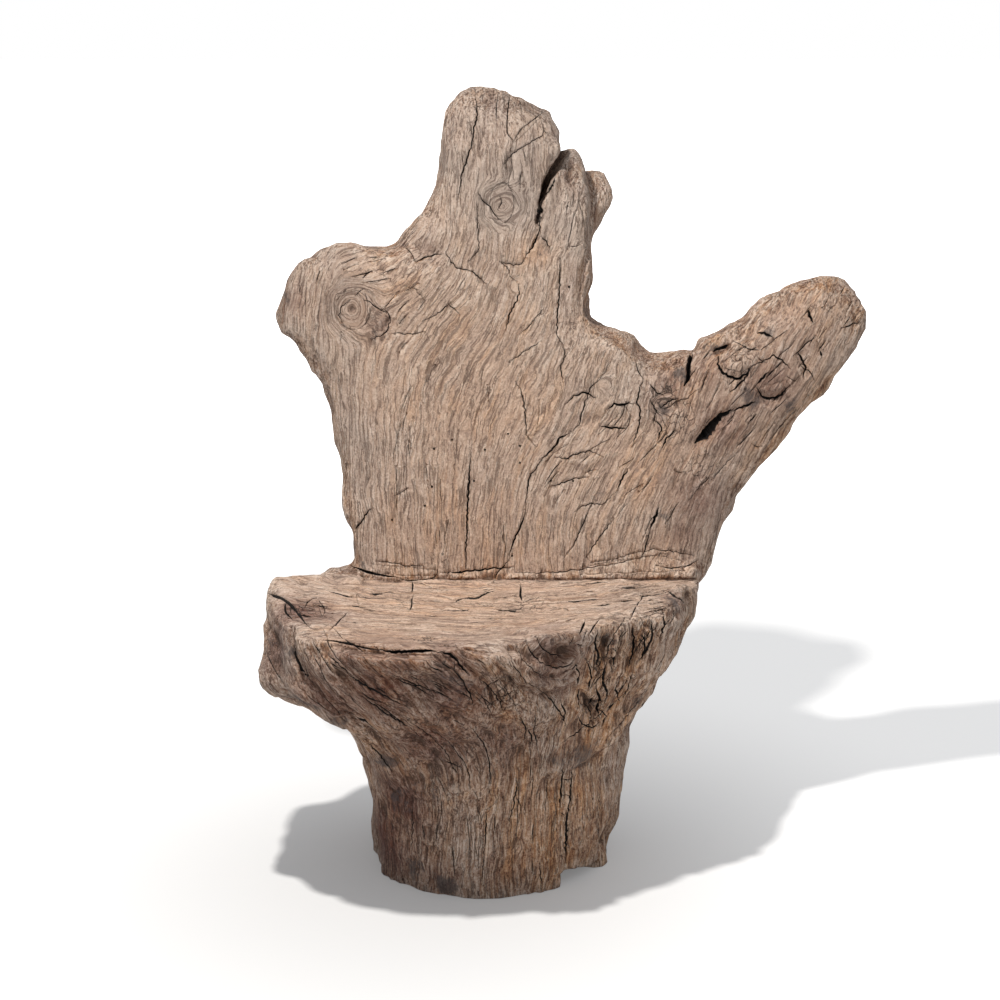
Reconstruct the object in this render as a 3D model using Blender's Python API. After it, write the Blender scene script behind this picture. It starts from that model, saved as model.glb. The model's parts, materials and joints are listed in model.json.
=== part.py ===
"""A root chair: one weathered root stump, sawn to a seat and a backrest.

The stump is built from lofted members that are fused and worn smooth together: the foot with
its flare and seat, the backrest, the upper limb and the limb split off it, a rear root stub and
the long right arm. The parts of the stump that ring shakes and drying splits have loosened are
pieces of their own, cut from the same blank: encased knots, blocks, chips and slivers.

Units are metres, +Z is up, the sitter faces -Y, and the origin is the middle of the foot's
sawn face on the floor.
"""

import math

import bmesh
import bpy
from mathutils import Vector

# Driving dimensions of the stump
SEAT_HEIGHT = 0.400  # floor to the seat
SEAT_WIDTH = 0.625  # across the seat, between the ends of its rim
SEAT_DEPTH = 0.330  # front rim to the backrest
SEAT_DISH = 0.010  # how far the worn middle of the seat lies below its height
RIM_WEAR = 0.012  # how far the rim's edge is worn down
FOOT_WIDTH = 0.380  # across the foot just below the flare
FOOT_DEPTH = 0.365
COLLAR_HEIGHT = 0.150  # where the foot ends and the flare begins
BACK_HEIGHT = 0.688  # seat to the top of the upper limb
BACK_WIDTH = 0.520  # across the backrest at its root
BACK_THICKNESS = 0.135
BACK_SETBACK = 0.050  # how far the backrest's face stands behind the middle of the foot
BACK_LEAN = math.radians(4.5)
ARM_REACH = 0.515  # middle of the foot to the arm's tip
ARM_THICKNESS = 0.120
ARM_SLOPE = math.radians(43)  # of the arm above the floor

# Sizes of the cuts and of the pieces that have come loose
PARTING_GAP = 0.0003  # the shake between a loose piece and the wood that holds it
CUT_OVERRUN = 0.030  # how far a cut runs past the wood
KERF_DEPTH = 0.0025  # how far the saw overran in the corner of seat and backrest
KERF_REACH = 0.050  # how far from the corner its two cuts come out of the wood
KERF_INSET = 0.012  # from the ends of the corner, where the saw cuts end
SPLIT_DEPTH = 0.085
SHOULDER_KNOT_WIDTH = 0.050
SHOULDER_KNOT_HEIGHT = 0.056
SHOULDER_KNOT_DEPTH = 0.045
LIMB_KNOT_WIDTH = 0.034
LIMB_KNOT_HEIGHT = 0.056
LIMB_KNOT_DEPTH = 0.036
BLOCK_DEPTH = 0.024
WEDGE_DEPTH = 0.050
CHIP_DEPTH = 0.020
SLIVER_DEPTH = 0.016
SPLINTER_DEPTH = 0.022
FLAKE_HEIGHT = 0.028

# How finely the blank is fused, worn and faceted
FUSE_SIZE = 0.0065
WEAR_PASSES = 9
WEAR_FACTOR = 0.5
FACET_COUNT = 7400
SECTION_POINTS = 40
OUTLINE_POINTS = 80
KNOT_POINTS = 16
FLARE_STEPS = 12

# Shapes of the sections: two is an ellipse, more is squarer
BACK_FACE_SQUARENESS = 4.5
LIMB_FACE_SQUARENESS = 3.0
REAR_SQUARENESS = 2.3
FLARE_DELAY = 1.15  # above one, the flare starts slowly from the foot
KNOT_TAPER_SHARE = 0.70  # width of a knot's inner end against its face

# The seat's outline seen from above, as shares of half its width and of its depth, with the
# share of the flare's height at which each place is fully out. It starts at the right end and
# runs past the front.
SEAT_OUTLINE_SHARES = (
    (0.918, 0.170, 1.00),
    (0.890, 0.000, 1.00),
    (0.800, -0.220, 1.00),
    (0.620, -0.395, 1.00),
    (0.400, -0.560, 0.98),
    (0.170, -0.710, 0.96),
    (-0.080, -0.795, 0.96),
    (-0.360, -0.820, 0.96),
    (-0.640, -0.765, 0.90),
    (-0.860, -0.610, 0.76),
    (-0.975, -0.380, 0.66),
    (-1.025, -0.120, 0.62),
    (-1.000, 0.050, 0.62),
    (-0.860, 0.160, 0.68),
    (-0.680, 0.340, 0.80),
    (-0.340, 0.550, 0.90),
    (0.060, 0.590, 0.90),
    (0.420, 0.560, 0.90),
    (0.700, 0.470, 0.92),
    (0.860, 0.330, 0.96),
)
# The foot's outline below the flare, in the same order, as shares of half its own sizes.
FOOT_OUTLINE_SHARES = (
    (0.950, 0.250),
    (0.965, 0.000),
    (0.905, -0.270),
    (0.780, -0.500),
    (0.600, -0.710),
    (0.350, -0.890),
    (0.080, -0.990),
    (-0.200, -1.010),
    (-0.480, -0.940),
    (-0.720, -0.780),
    (-0.900, -0.520),
    (-0.990, -0.200),
    (-1.010, 0.120),
    (-0.950, 0.420),
    (-0.790, 0.700),
    (-0.450, 0.930),
    (0.000, 1.000),
    (0.420, 0.920),
    (0.720, 0.720),
    (0.880, 0.480),
)
# The foot's narrowing towards the floor: share of the collar's height, share of the foot's size.
FOOT_TAPER_SHARES = ((-0.150, 0.895), (0.000, 0.910), (0.350, 0.950), (0.750, 0.985), (1.0, 1.0))
# The seat inside its rim: share of the outline's size, share of the dish's depth.
SEAT_DISH_SHARES = ((0.960, -0.40), (0.900, -0.25), (0.780, 0.15), (0.550, 0.75), (0.250, 1.0))
# Swellings of the stump: middle as shares of half the seat's width, the seat's depth and the
# seat's height, then spread and push as shares of the seat's depth.
SWELLING_SHARES = (
    ((0.144, -0.760, 0.85), 0.130, (0.010, -0.080, 0.000)),
    ((-0.920, -0.060, 1.00), 0.180, (0.000, 0.000, 0.040)),
    ((0.670, -0.300, 0.80), 0.150, (0.040, -0.035, 0.000)),
    ((-0.510, -0.760, 0.82), 0.210, (-0.006, -0.036, 0.000)),
    ((-1.040, -0.300, 0.75), 0.120, (-0.035, 0.000, -0.030)),
    ((0.800, 0.100, 0.66), 0.170, (0.065, 0.000, 0.000)),
)

# Furrows (pushed in, below zero) and swellings (pushed out) of the fused stump: spread and push
# as shares of the seat's depth, then the stations of their course. On the foot, the flare and
# the rim these are shares of half the seat's width, the seat's depth and the seat's height.
STUMP_RELIEF_SHARES = (
    (0.024, 0.018, ((0.106, -0.603, 0.998), (0.205, -0.685, 1.000), (0.410, -0.545, 0.978))),
    (0.026, -0.040, ((0.064, -0.752, 0.985), (0.141, -0.761, 0.960), (0.320, -0.624, 0.930))),
    (0.024, -0.024, ((-0.662, -0.776, 0.900), (-0.323, -0.830, 0.890), (-0.120, -0.790, 0.850))),
    (0.027, 0.022, ((-1.011, -0.336, 0.795), (-0.851, -0.591, 0.793), (-0.694, -0.612, 0.713))),
    (0.027, 0.020, ((-0.694, -0.612, 0.713), (-0.566, -0.467, 0.558), (-0.448, -0.455, 0.458))),
    (0.024, -0.026, ((-0.890, -0.564, 0.968), (-0.790, -0.673, 0.838), (-0.672, -0.679, 0.760))),
    (0.024, -0.022, ((-0.672, -0.679, 0.760), (-0.541, -0.606, 0.653), (-0.435, -0.518, 0.530))),
    (0.027, 0.016, ((-0.768, -0.709, 0.918), (-0.531, -0.730, 0.763), (-0.403, -0.621, 0.628))),
    (0.030, 0.022, ((0.710, -0.133, 0.675), (0.614, -0.206, 0.615), (0.467, -0.321, 0.533))),
    (0.030, 0.018, ((0.467, -0.321, 0.533), (0.323, -0.436, 0.488), (0.189, -0.512, 0.475))),
    (0.030, 0.016, ((-0.560, -0.315, 0.448), (-0.422, -0.452, 0.413), (-0.093, -0.564, 0.435))),
    (0.018, -0.026, ((0.470, -0.509, 0.950), (0.454, -0.518, 0.913), (0.464, -0.494, 0.855))),
    (0.018, -0.030, ((0.595, -0.421, 0.950), (0.602, -0.424, 0.915), (0.579, -0.412, 0.818))),
    (0.018, -0.026, ((0.685, -0.358, 0.940), (0.698, -0.352, 0.903), (0.666, -0.364, 0.833))),
    (0.021, -0.028, ((0.742, -0.279, 0.965), (0.800, -0.182, 0.960), (0.858, -0.061, 0.960))),
    (0.021, -0.032, ((0.362, -0.533, 0.773), (0.397, -0.467, 0.703), (0.454, -0.388, 0.635))),
    (0.070, 0.024, ((-0.995, -0.367, 0.850),)),
    (0.045, 0.024, ((-0.976, -0.409, 0.765),)),
    (0.055, -0.024, ((-0.675, -0.579, 0.680),)),
    (0.050, -0.024, ((-0.528, -0.294, 0.260),)),
    (0.034, -0.020, ((-0.733, 0.052, 1.010),)),
)
# The same on the back and its limbs, with stations as shares of the back's width and height.
BACK_RELIEF_SHARES = (
    (0.050, -0.015, ((-0.127, 0.932),)),
    (0.033, -0.024, ((0.048, 0.967),)),
    (0.028, 0.015, ((0.142, 0.933),)),
    (0.033, 0.018, ((0.162, 0.882),)),
    (0.050, -0.018, ((-0.181, 0.757),)),
    (0.048, -0.018, ((-0.306, 0.672),)),
    (0.030, 0.020, ((-0.583, 0.506),)),
    (0.052, 0.026, ((0.348, 0.484),)),
    (0.046, -0.027, ((-0.544, 0.471), (-0.487, 0.401), (-0.450, 0.346))),
)
# The same on the arm, with stations as shares of its reach and of the back's height.
ARM_RELIEF_SHARES = (
    (0.045, 0.018, ((0.961, 0.583),)),
    (0.042, 0.015, ((0.664, 0.170),)),
    (0.042, -0.020, ((0.619, 0.491), (0.674, 0.513), (0.738, 0.549), (0.808, 0.576))),
    (0.036, -0.016, ((0.674, 0.513),)),
    (0.050, -0.015, ((0.755, 0.295),)),
    (0.018, -0.032, ((0.536, 0.456), (0.524, 0.435), (0.530, 0.411))),
    (0.018, -0.022, ((0.544, 0.278), (0.592, 0.315), (0.658, 0.349))),
    (0.015, -0.015, ((0.711, 0.384), (0.746, 0.366), (0.796, 0.380))),
)
# The long humps of raw root wood: wave length and height as shares of the seat's depth, and the
# direction in which the wave runs.
HUMP_SHARES = (
    (0.270, 0.0070, (0.80, 0.35, 0.48)),
    (0.235, 0.0065, (-0.45, 0.60, 0.66)),
    (0.330, 0.0075, (0.10, -0.75, 0.65)),
    (0.190, 0.0050, (0.62, 0.62, -0.48)),
)
FOOT_HUMP_SHARE = 0.35  # of a hump's height, on the foot below the flare
SAWN_FACE_REACH = 0.022  # how near to a sawn face the wood still counts as sawn

# Level slices of the back's members, upwards: share of the back's height, left and right edge
# as shares of the back's width, front and rear as shares of its thickness.
BACK_SLICE_SHARES = (
    (-0.250, -0.340, 0.490, 0.00, 1.00),
    (0.000, -0.398, 0.592, 0.00, 1.08),
    (0.060, -0.414, 0.625, 0.00, 1.05),
    (0.124, -0.428, 0.653, 0.00, 1.00),
    (0.200, -0.428, 0.668, 0.00, 0.98),
    (0.280, -0.446, 0.630, 0.00, 0.98),
    (0.350, -0.464, 0.560, 0.00, 0.98),
    (0.400, -0.488, 0.480, 0.00, 0.98),
    (0.440, -0.522, 0.420, 0.00, 0.96),
    (0.480, -0.570, 0.360, 0.00, 0.94),
    (0.520, -0.600, 0.270, 0.00, 0.92),
    (0.580, -0.586, 0.240, 0.00, 0.90),
    (0.630, -0.560, 0.238, 0.00, 0.86),
    (0.672, -0.480, 0.238, 0.05, 0.78),
)
UPPER_LIMB_SHARES = (
    (0.500, -0.360, 0.170, 0.00, 0.85),
    (0.620, -0.300, 0.185, 0.00, 0.84),
    (0.690, -0.256, 0.185, 0.00, 0.82),
    (0.750, -0.198, 0.182, 0.00, 0.80),
    (0.830, -0.158, 0.182, 0.00, 0.78),
    (0.890, -0.146, 0.176, 0.00, 0.76),
    (0.945, -0.142, 0.138, 0.05, 0.72),
    (0.975, -0.124, 0.070, 0.18, 0.62),
    (0.994, -0.090, 0.005, 0.32, 0.50),
)
SPLIT_LIMB_SHARES = (
    (0.440, 0.020, 0.280, 0.08, 1.02),
    (0.560, 0.060, 0.254, 0.06, 1.00),
    (0.660, 0.090, 0.254, 0.06, 0.98),
    (0.740, 0.112, 0.262, 0.08, 0.96),
    (0.790, 0.130, 0.256, 0.14, 0.92),
    (0.835, 0.145, 0.240, 0.24, 0.84),
    (0.868, 0.160, 0.210, 0.36, 0.70),
)
REAR_STUB_SHARES = (
    (0.660, 0.130, 0.254, 0.62, 1.15),
    (0.715, 0.170, 0.292, 0.58, 1.22),
    (0.755, 0.210, 0.314, 0.58, 1.20),
    (0.785, 0.220, 0.314, 0.62, 1.12),
    (0.808, 0.236, 0.288, 0.72, 0.98),
)
# The round roots that run up behind the backrest, as stations: middle as a share of the back's
# width, height (below the seat a share of the seat's height, above it of the back's), middle
# behind the face and radius as shares of the back's thickness.
REAR_ROOT_SHARES = (
    (
        (-0.060, -0.950, 0.20, 0.55),
        (-0.060, -0.600, 0.48, 0.62),
        (-0.040, -0.100, 0.66, 0.60),
        (-0.040, 0.180, 0.66, 0.58),
        (0.000, 0.420, 0.62, 0.54),
        (0.020, 0.640, 0.52, 0.46),
        (0.020, 0.800, 0.42, 0.40),
        (0.020, 0.920, 0.38, 0.20),
    ),
    (
        (-0.170, -0.800, 0.20, 0.45),
        (-0.200, -0.400, 0.42, 0.52),
        (-0.240, -0.050, 0.56, 0.50),
        (-0.310, 0.220, 0.56, 0.46),
        (-0.400, 0.440, 0.50, 0.44),
        (-0.480, 0.580, 0.42, 0.28),
    ),
    (
        (0.150, -0.800, 0.20, 0.45),
        (0.230, -0.350, 0.42, 0.54),
        (0.360, 0.050, 0.56, 0.54),
        (0.480, 0.260, 0.58, 0.50),
        (0.640, 0.405, 0.52, 0.46),
        (0.790, 0.515, 0.46, 0.38),
        (0.880, 0.585, 0.42, 0.18),
    ),
)
# Stations along the arm: reach and height of its middle as shares of the arm's reach and the
# back's height, its width as a share of the reach, front and rear as shares of its thickness.
ARM_STATION_SHARES = (
    (0.330, 0.215, 0.500, 0.06, 1.02),
    (0.460, 0.262, 0.500, 0.03, 1.04),
    (0.570, 0.318, 0.450, 0.02, 1.02),
    (0.655, 0.362, 0.380, 0.02, 0.98),
    (0.730, 0.408, 0.330, 0.02, 0.96),
    (0.800, 0.453, 0.305, 0.02, 0.96),
    (0.865, 0.494, 0.285, 0.04, 0.94),
    (0.920, 0.534, 0.255, 0.10, 0.88),
    (0.957, 0.562, 0.190, 0.20, 0.78),
    (0.978, 0.578, 0.100, 0.32, 0.66),
)

# Outlines of the cuts and of the loose pieces as the sitter's front shows them, as shares of
# the back's width (the arm's reach for the arm's blocks) and of the back's height.
SHOULDER_KNOT_SHARE = (-0.390, 0.556)
LIMB_KNOT_SHARE = (0.013, 0.773)
SPLIT_SHARES = (
    (0.180, 0.960),
    (0.156, 0.862),
    (0.128, 0.822),
    (0.108, 0.776),
    (0.102, 0.700),
    (0.110, 0.700),
    (0.120, 0.766),
    (0.144, 0.812),
    (0.186, 0.852),
    (0.240, 0.930),
)
CROWN_WEDGE_SHARES = (
    (0.035, 1.030),
    (0.026, 0.914),
    (0.045, 0.893),
    (0.088, 0.922),
    (0.127, 0.952),
    (0.150, 1.030),
)
BACK_CHIP_SHARES = (
    (0.280, 0.316),
    (0.316, 0.310),
    (0.358, 0.320),
    (0.363, 0.337),
    (0.351, 0.355),
    (0.318, 0.362),
    (0.296, 0.348),
)
LEFT_SLIVER_SHARES = (
    (-0.345, 0.006),
    (-0.260, 0.001),
    (-0.166, 0.001),
    (-0.166, 0.013),
    (-0.250, 0.018),
    (-0.345, 0.021),
)
RIGHT_SLIVER_SHARES = (
    (0.235, 0.006),
    (0.350, 0.010),
    (0.440, 0.015),
    (0.510, 0.013),
    (0.510, 0.030),
    (0.440, 0.045),
    (0.350, 0.036),
    (0.235, 0.020),
)
ARM_KNOT_SHARES = (
    (0.614, 0.446),
    (0.6225, 0.420),
    (0.661, 0.411),
    (0.699, 0.419),
    (0.721, 0.444),
    (0.698, 0.465),
    (0.647, 0.461),
)
ARM_BURR_SHARES = (
    (0.711, 0.391),
    (0.740, 0.370),
    (0.784, 0.378),
    (0.808, 0.397),
    (0.793, 0.411),
    (0.750, 0.403),
)
# The flake on the front of the rim, seen from above, as shares of half the seat's width and of
# the seat's depth. The last two points lie out in front of the wood.
FLAKE_SHARES = (
    (-0.656, -0.721),
    (-0.480, -0.765),
    (-0.288, -0.778),
    (-0.144, -0.800),
    (-0.144, -1.000),
    (-0.656, -1.000),
)
# On the foot, as shares of half the foot's width and of the collar's height.
SPLINTER_SHARES = (
    (0.479, 0.240),
    (0.503, 0.240),
    (0.5105, 0.400),
    (0.5205, 0.700),
    (0.540, 1.033),
    (0.563, 1.227),
    (0.484, 1.227),
    (0.466, 1.033),
    (0.458, 0.833),
    (0.468, 0.400),
)
SPLINTER_FACE_SHARE = 0.735  # of half the foot's depth, where the splinter's face lies
TOE_NOTCH_SHARES = (
    (0.458, -0.300),
    (0.920, -0.300),
    (0.920, 0.010),
    (0.763, 0.055),
    (0.630, 0.080),
    (0.530, 0.150),
    (0.458, 0.155),
)
TOE_NOTCH_END_SHARE = 0.350  # of half the foot's depth, where the notch ends inside the foot

# Materials: base colour and roughness
WEATHERED_WOOD = ((0.36, 0.26, 0.18), 0.85)
KNOT_WOOD = ((0.27, 0.18, 0.12), 0.80)
SLIVER_WOOD = ((0.42, 0.30, 0.20), 0.85)


def clear_scene():
    for obj in list(bpy.data.objects):
        bpy.data.objects.remove(obj, do_unlink=True)


def wood_material(name, finish):
    colour, roughness = finish
    material = bpy.data.materials.new(name)
    material.use_nodes = True
    shader = material.node_tree.nodes["Principled BSDF"]
    shader.inputs["Base Color"].default_value = (*colour, 1.0)
    shader.inputs["Roughness"].default_value = roughness
    shader.inputs["Metallic"].default_value = 0.0
    material.diffuse_color = (*colour, 1.0)
    return material


def add_object(name, mesh):
    obj = bpy.data.objects.new(name, mesh)
    bpy.context.collection.objects.link(obj)
    return obj


def mesh_from(name, bm):
    bmesh.ops.recalc_face_normals(bm, faces=bm.faces)
    mesh = bpy.data.meshes.new(name)
    bm.to_mesh(mesh)
    bm.free()
    return mesh


def add_guide(name, bm):
    """A cutter: it shapes other objects and is no piece itself."""
    guide = add_object(name, mesh_from(name, bm))
    guide.hide_render = True
    guide.display_type = "WIRE"
    return guide


def evaluated_mesh(obj):
    graph = bpy.context.evaluated_depsgraph_get()
    return bpy.data.meshes.new_from_object(obj.evaluated_get(graph))


def add_boolean(obj, operation, guide):
    cut = obj.modifiers.new(operation.lower(), "BOOLEAN")
    cut.operation = operation
    cut.solver = "EXACT"
    cut.object = guide


def loft(bm, rings):
    """Skins the rings in order and closes both ends."""
    loops = [[bm.verts.new(point) for point in ring] for ring in rings]
    for lower, upper in zip(loops, loops[1:]):
        for i, corner in enumerate(lower):
            j = (i + 1) % len(lower)
            bm.faces.new((corner, lower[j], upper[j], upper[i]))
    bm.faces.new(list(reversed(loops[0])))
    bm.faces.new(loops[-1])


def smoothstep(share):
    share = min(max(share, 0.0), 1.0)
    return share * share * (3.0 - 2.0 * share)


def squared_corner(angle, squareness):
    """Cosine and sine of an angle, pushed out towards the corners of their square."""
    power = 2.0 / squareness
    cosine = math.cos(angle)
    sine = math.sin(angle)
    across = math.copysign(abs(cosine) ** power, cosine)
    along = math.copysign(abs(sine) ** power, sine)
    return across, along


def back_height(rise_share):
    """A height above the seat, or below it where the share is negative."""
    span = BACK_HEIGHT if rise_share > 0.0 else SEAT_HEIGHT
    return SEAT_HEIGHT + rise_share * span


def back_face(height):
    """Where the backrest's sawn face stands at a height above the floor."""
    return BACK_SETBACK + (height - SEAT_HEIGHT) * math.tan(BACK_LEAN)


def section_ring(middle, across, front, rear, face_squareness):
    """A closed section, flat towards the sitter and round behind, from front to rear depth."""
    ring = []
    for step in range(SECTION_POINTS):
        angle = math.tau * step / SECTION_POINTS
        squareness = face_squareness if math.sin(angle) < 0.0 else REAR_SQUARENESS
        wide, deep = squared_corner(angle, squareness)
        depth = (front + rear) / 2.0 + deep * (rear - front) / 2.0
        ring.append(middle + across * wide + Vector((0.0, depth, 0.0)))
    return ring


def back_member(slice_shares, face_squareness):
    rings = []
    for rise, left, right, front, rear in slice_shares:
        height = back_height(rise)
        face = back_face(height)
        middle = Vector(((left + right) / 2.0 * BACK_WIDTH, 0.0, height))
        across = Vector(((right - left) / 2.0 * BACK_WIDTH, 0.0, 0.0))
        near = face + front * BACK_THICKNESS
        far = face + rear * BACK_THICKNESS
        rings.append(section_ring(middle, across, near, far, face_squareness))
    return rings


def arm_member():
    upright = Vector((-math.sin(ARM_SLOPE), 0.0, math.cos(ARM_SLOPE)))
    rings = []
    for reach, rise, width, front, rear in ARM_STATION_SHARES:
        height = back_height(rise)
        face = back_face(height)
        middle = Vector((reach * ARM_REACH, 0.0, height))
        across = upright * (width * ARM_REACH / 2.0)
        near = face + front * ARM_THICKNESS
        far = face + rear * ARM_THICKNESS
        rings.append(section_ring(middle, across, near, far, LIMB_FACE_SQUARENESS))
    return rings


def rear_root(station_shares):
    """A round root: rings square to the line through its stations."""
    middles = []
    for x, rise, depth, radius in station_shares:
        height = back_height(rise)
        middles.append(Vector((x * BACK_WIDTH, back_face(height) + depth * BACK_THICKNESS, height)))
    rings = []
    for i, middle in enumerate(middles):
        before = middles[max(i - 1, 0)]
        after = middles[min(i + 1, len(middles) - 1)]
        along = (after - before).normalized()
        across = along.cross(Vector((0.0, 1.0, 0.0))).normalized()
        deep = across.cross(along)
        radius = station_shares[i][3] * BACK_THICKNESS
        ring = []
        for step in range(SECTION_POINTS):
            angle = math.tau * step / SECTION_POINTS
            ring.append(middle + (across * math.cos(angle) + deep * math.sin(angle)) * radius)
        rings.append(ring)
    return rings


def closed_curve(corners):
    """A smooth closed curve through the corners, sampled evenly between them."""
    count = len(corners)
    curve = []
    for step in range(OUTLINE_POINTS):
        place = step * count / OUTLINE_POINTS
        i = int(place)
        t = place - i
        p0, p1, p2, p3 = (corners[(i + k - 1) % count] for k in range(4))
        straight = (p2 - p0) * t
        bend = (p0 * 2.0 - p1 * 5.0 + p2 * 4.0 - p3) * t**2
        twist = (p1 * 3.0 - p0 - p2 * 3.0 + p3) * t**3
        curve.append((p1 * 2.0 + straight + bend + twist) / 2.0)
    return curve


def seat_outline():
    """The seat's outline; z is the height at which the flare is fully out at each place."""
    flare = SEAT_HEIGHT - COLLAR_HEIGHT
    corners = [
        Vector((x * SEAT_WIDTH / 2.0, y * SEAT_DEPTH, COLLAR_HEIGHT + reach * flare))
        for x, y, reach in SEAT_OUTLINE_SHARES
    ]
    return closed_curve(corners)


def foot_outline():
    corners = [
        Vector((x * FOOT_WIDTH / 2.0, y * FOOT_DEPTH / 2.0, 0.0)) for x, y in FOOT_OUTLINE_SHARES
    ]
    return closed_curve(corners)


def swollen(point):
    scale = Vector((SEAT_WIDTH / 2.0, SEAT_DEPTH, SEAT_HEIGHT))
    moved = point.copy()
    for middle, spread, push in SWELLING_SHARES:
        distance = (point - Vector(middle) * scale).length / (spread * SEAT_DEPTH)
        moved += Vector(push) * (SEAT_DEPTH * math.exp(-(distance**2) / 2.0))
    return moved


def stump_member():
    """The foot, its flare and the dished seat, as level rings from below the floor up."""
    outline = seat_outline()
    foot = foot_outline()
    rings = []
    for rise, size in FOOT_TAPER_SHARES:
        height = Vector((0.0, 0.0, rise * COLLAR_HEIGHT))
        rings.append([point * size + height for point in foot])
    rim_height = SEAT_HEIGHT - RIM_WEAR
    for step in range(1, FLARE_STEPS + 1):
        height = COLLAR_HEIGHT + (rim_height - COLLAR_HEIGHT) * step / FLARE_STEPS
        ring = []
        for inner, outer in zip(foot, outline):
            rise = (height - COLLAR_HEIGHT) / (outer.z - COLLAR_HEIGHT)
            place = inner.lerp(outer, smoothstep(rise**FLARE_DELAY))
            ring.append(Vector((place.x, place.y, height)))
        rings.append(ring)
    rim = rings[-1]
    middle = sum(rim, Vector()) / len(rim)
    for size, dish in SEAT_DISH_SHARES:
        rise = Vector((0.0, 0.0, RIM_WEAR - dish * SEAT_DISH))
        rings.append([middle + (point - middle) * size + rise for point in rim])
    return [[swollen(point) for point in ring] for ring in rings]


def grown(outline, gap):
    """The outline (x, z pairs, anticlockwise) with every side moved outwards by the gap."""
    count = len(outline)
    sides = []
    for i, start in enumerate(outline):
        along = (outline[(i + 1) % count] - start).normalized()
        outwards = Vector((along.y, -along.x))
        sides.append((start + outwards * gap, along))
    corners = []
    for i, (place, along) in enumerate(sides):
        before, heading = sides[i - 1]
        turn = heading.x * along.y - heading.y * along.x
        offset = place - before
        travel = (offset.x * along.y - offset.y * along.x) / turn
        corners.append(before + heading * travel)
    return corners


def tapered(outline, size_share):
    middle = sum(outline, Vector((0.0, 0.0))) / len(outline)
    return [middle + (point - middle) * size_share for point in outline]


def front_prism(outline, depth_at, depth, gap, inner_share=1.0):
    """A cut from in front of the wood straight into it, to a depth behind the wood's face."""
    outer_share = 1.0 + (1.0 - inner_share) * CUT_OVERRUN / depth
    outer = grown(tapered(outline, outer_share), gap)
    inner = grown(tapered(outline, inner_share), gap)
    near = [Vector((p.x, depth_at(p.y) - CUT_OVERRUN, p.y)) for p in outer]
    far = [Vector((p.x, depth_at(p.y) + depth + gap, p.y)) for p in inner]
    return near, far


def back_outline(shares, width=BACK_WIDTH):
    return [Vector((x * width, back_height(rise))) for x, rise in shares]


def foot_shares_outline(shares):
    return [Vector((x * FOOT_WIDTH / 2.0, rise * COLLAR_HEIGHT)) for x, rise in shares]


def knot_outline(middle_share, width, height):
    x, rise = middle_share
    outline = []
    for step in range(KNOT_POINTS):
        angle = math.tau * step / KNOT_POINTS
        across = x * BACK_WIDTH + math.cos(angle) * width / 2.0
        upwards = back_height(rise) + math.sin(angle) * height / 2.0
        outline.append(Vector((across, upwards)))
    return outline


def shoulder_knot(gap):
    outline = knot_outline(SHOULDER_KNOT_SHARE, SHOULDER_KNOT_WIDTH, SHOULDER_KNOT_HEIGHT)
    return front_prism(outline, back_face, SHOULDER_KNOT_DEPTH, gap, KNOT_TAPER_SHARE)


def limb_knot(gap):
    outline = knot_outline(LIMB_KNOT_SHARE, LIMB_KNOT_WIDTH, LIMB_KNOT_HEIGHT)
    return front_prism(outline, back_face, LIMB_KNOT_DEPTH, gap, KNOT_TAPER_SHARE)


def arm_knot(gap):
    return front_prism(back_outline(ARM_KNOT_SHARES, ARM_REACH), back_face, BLOCK_DEPTH, gap)


def arm_burr(gap):
    return front_prism(back_outline(ARM_BURR_SHARES, ARM_REACH), back_face, BLOCK_DEPTH, gap)


def crown_wedge(gap):
    return front_prism(back_outline(CROWN_WEDGE_SHARES), back_face, WEDGE_DEPTH, gap)


def back_chip(gap):
    return front_prism(back_outline(BACK_CHIP_SHARES), back_face, CHIP_DEPTH, gap)


def left_sliver(gap):
    return front_prism(back_outline(LEFT_SLIVER_SHARES), back_face, SLIVER_DEPTH, gap)


def right_sliver(gap):
    return front_prism(back_outline(RIGHT_SLIVER_SHARES), back_face, SLIVER_DEPTH, gap)


def lip_flake(gap):
    """A flake split off the front of the rim, open above and in front."""
    corners = [Vector((x * SEAT_WIDTH / 2.0, y * SEAT_DEPTH)) for x, y in FLAKE_SHARES]
    outline = grown(list(reversed(corners)), gap)
    low = SEAT_HEIGHT - FLAKE_HEIGHT - gap
    high = SEAT_HEIGHT + CUT_OVERRUN
    return [Vector((p.x, p.y, low)) for p in outline], [Vector((p.x, p.y, high)) for p in outline]


def foot_face(height):
    """Where the foot's front lies beside the long crack: it leans in towards the floor."""
    floor_size = FOOT_TAPER_SHARES[1][1]
    size = floor_size + (1.0 - floor_size) * height / COLLAR_HEIGHT
    return -SPLINTER_FACE_SHARE * FOOT_DEPTH / 2.0 * size


def base_splinter(gap):
    return front_prism(foot_shares_outline(SPLINTER_SHARES), foot_face, SPLINTER_DEPTH, gap)


def split_cut():
    return front_prism(back_outline(SPLIT_SHARES), back_face, SPLIT_DEPTH, 0.0)


def toe_notch():
    outline = foot_shares_outline(TOE_NOTCH_SHARES)
    near = [Vector((p.x, -FOOT_DEPTH / 2.0 - CUT_OVERRUN, p.y)) for p in outline]
    far = [Vector((p.x, -TOE_NOTCH_END_SHARE * FOOT_DEPTH / 2.0, p.y)) for p in outline]
    return near, far


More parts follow.
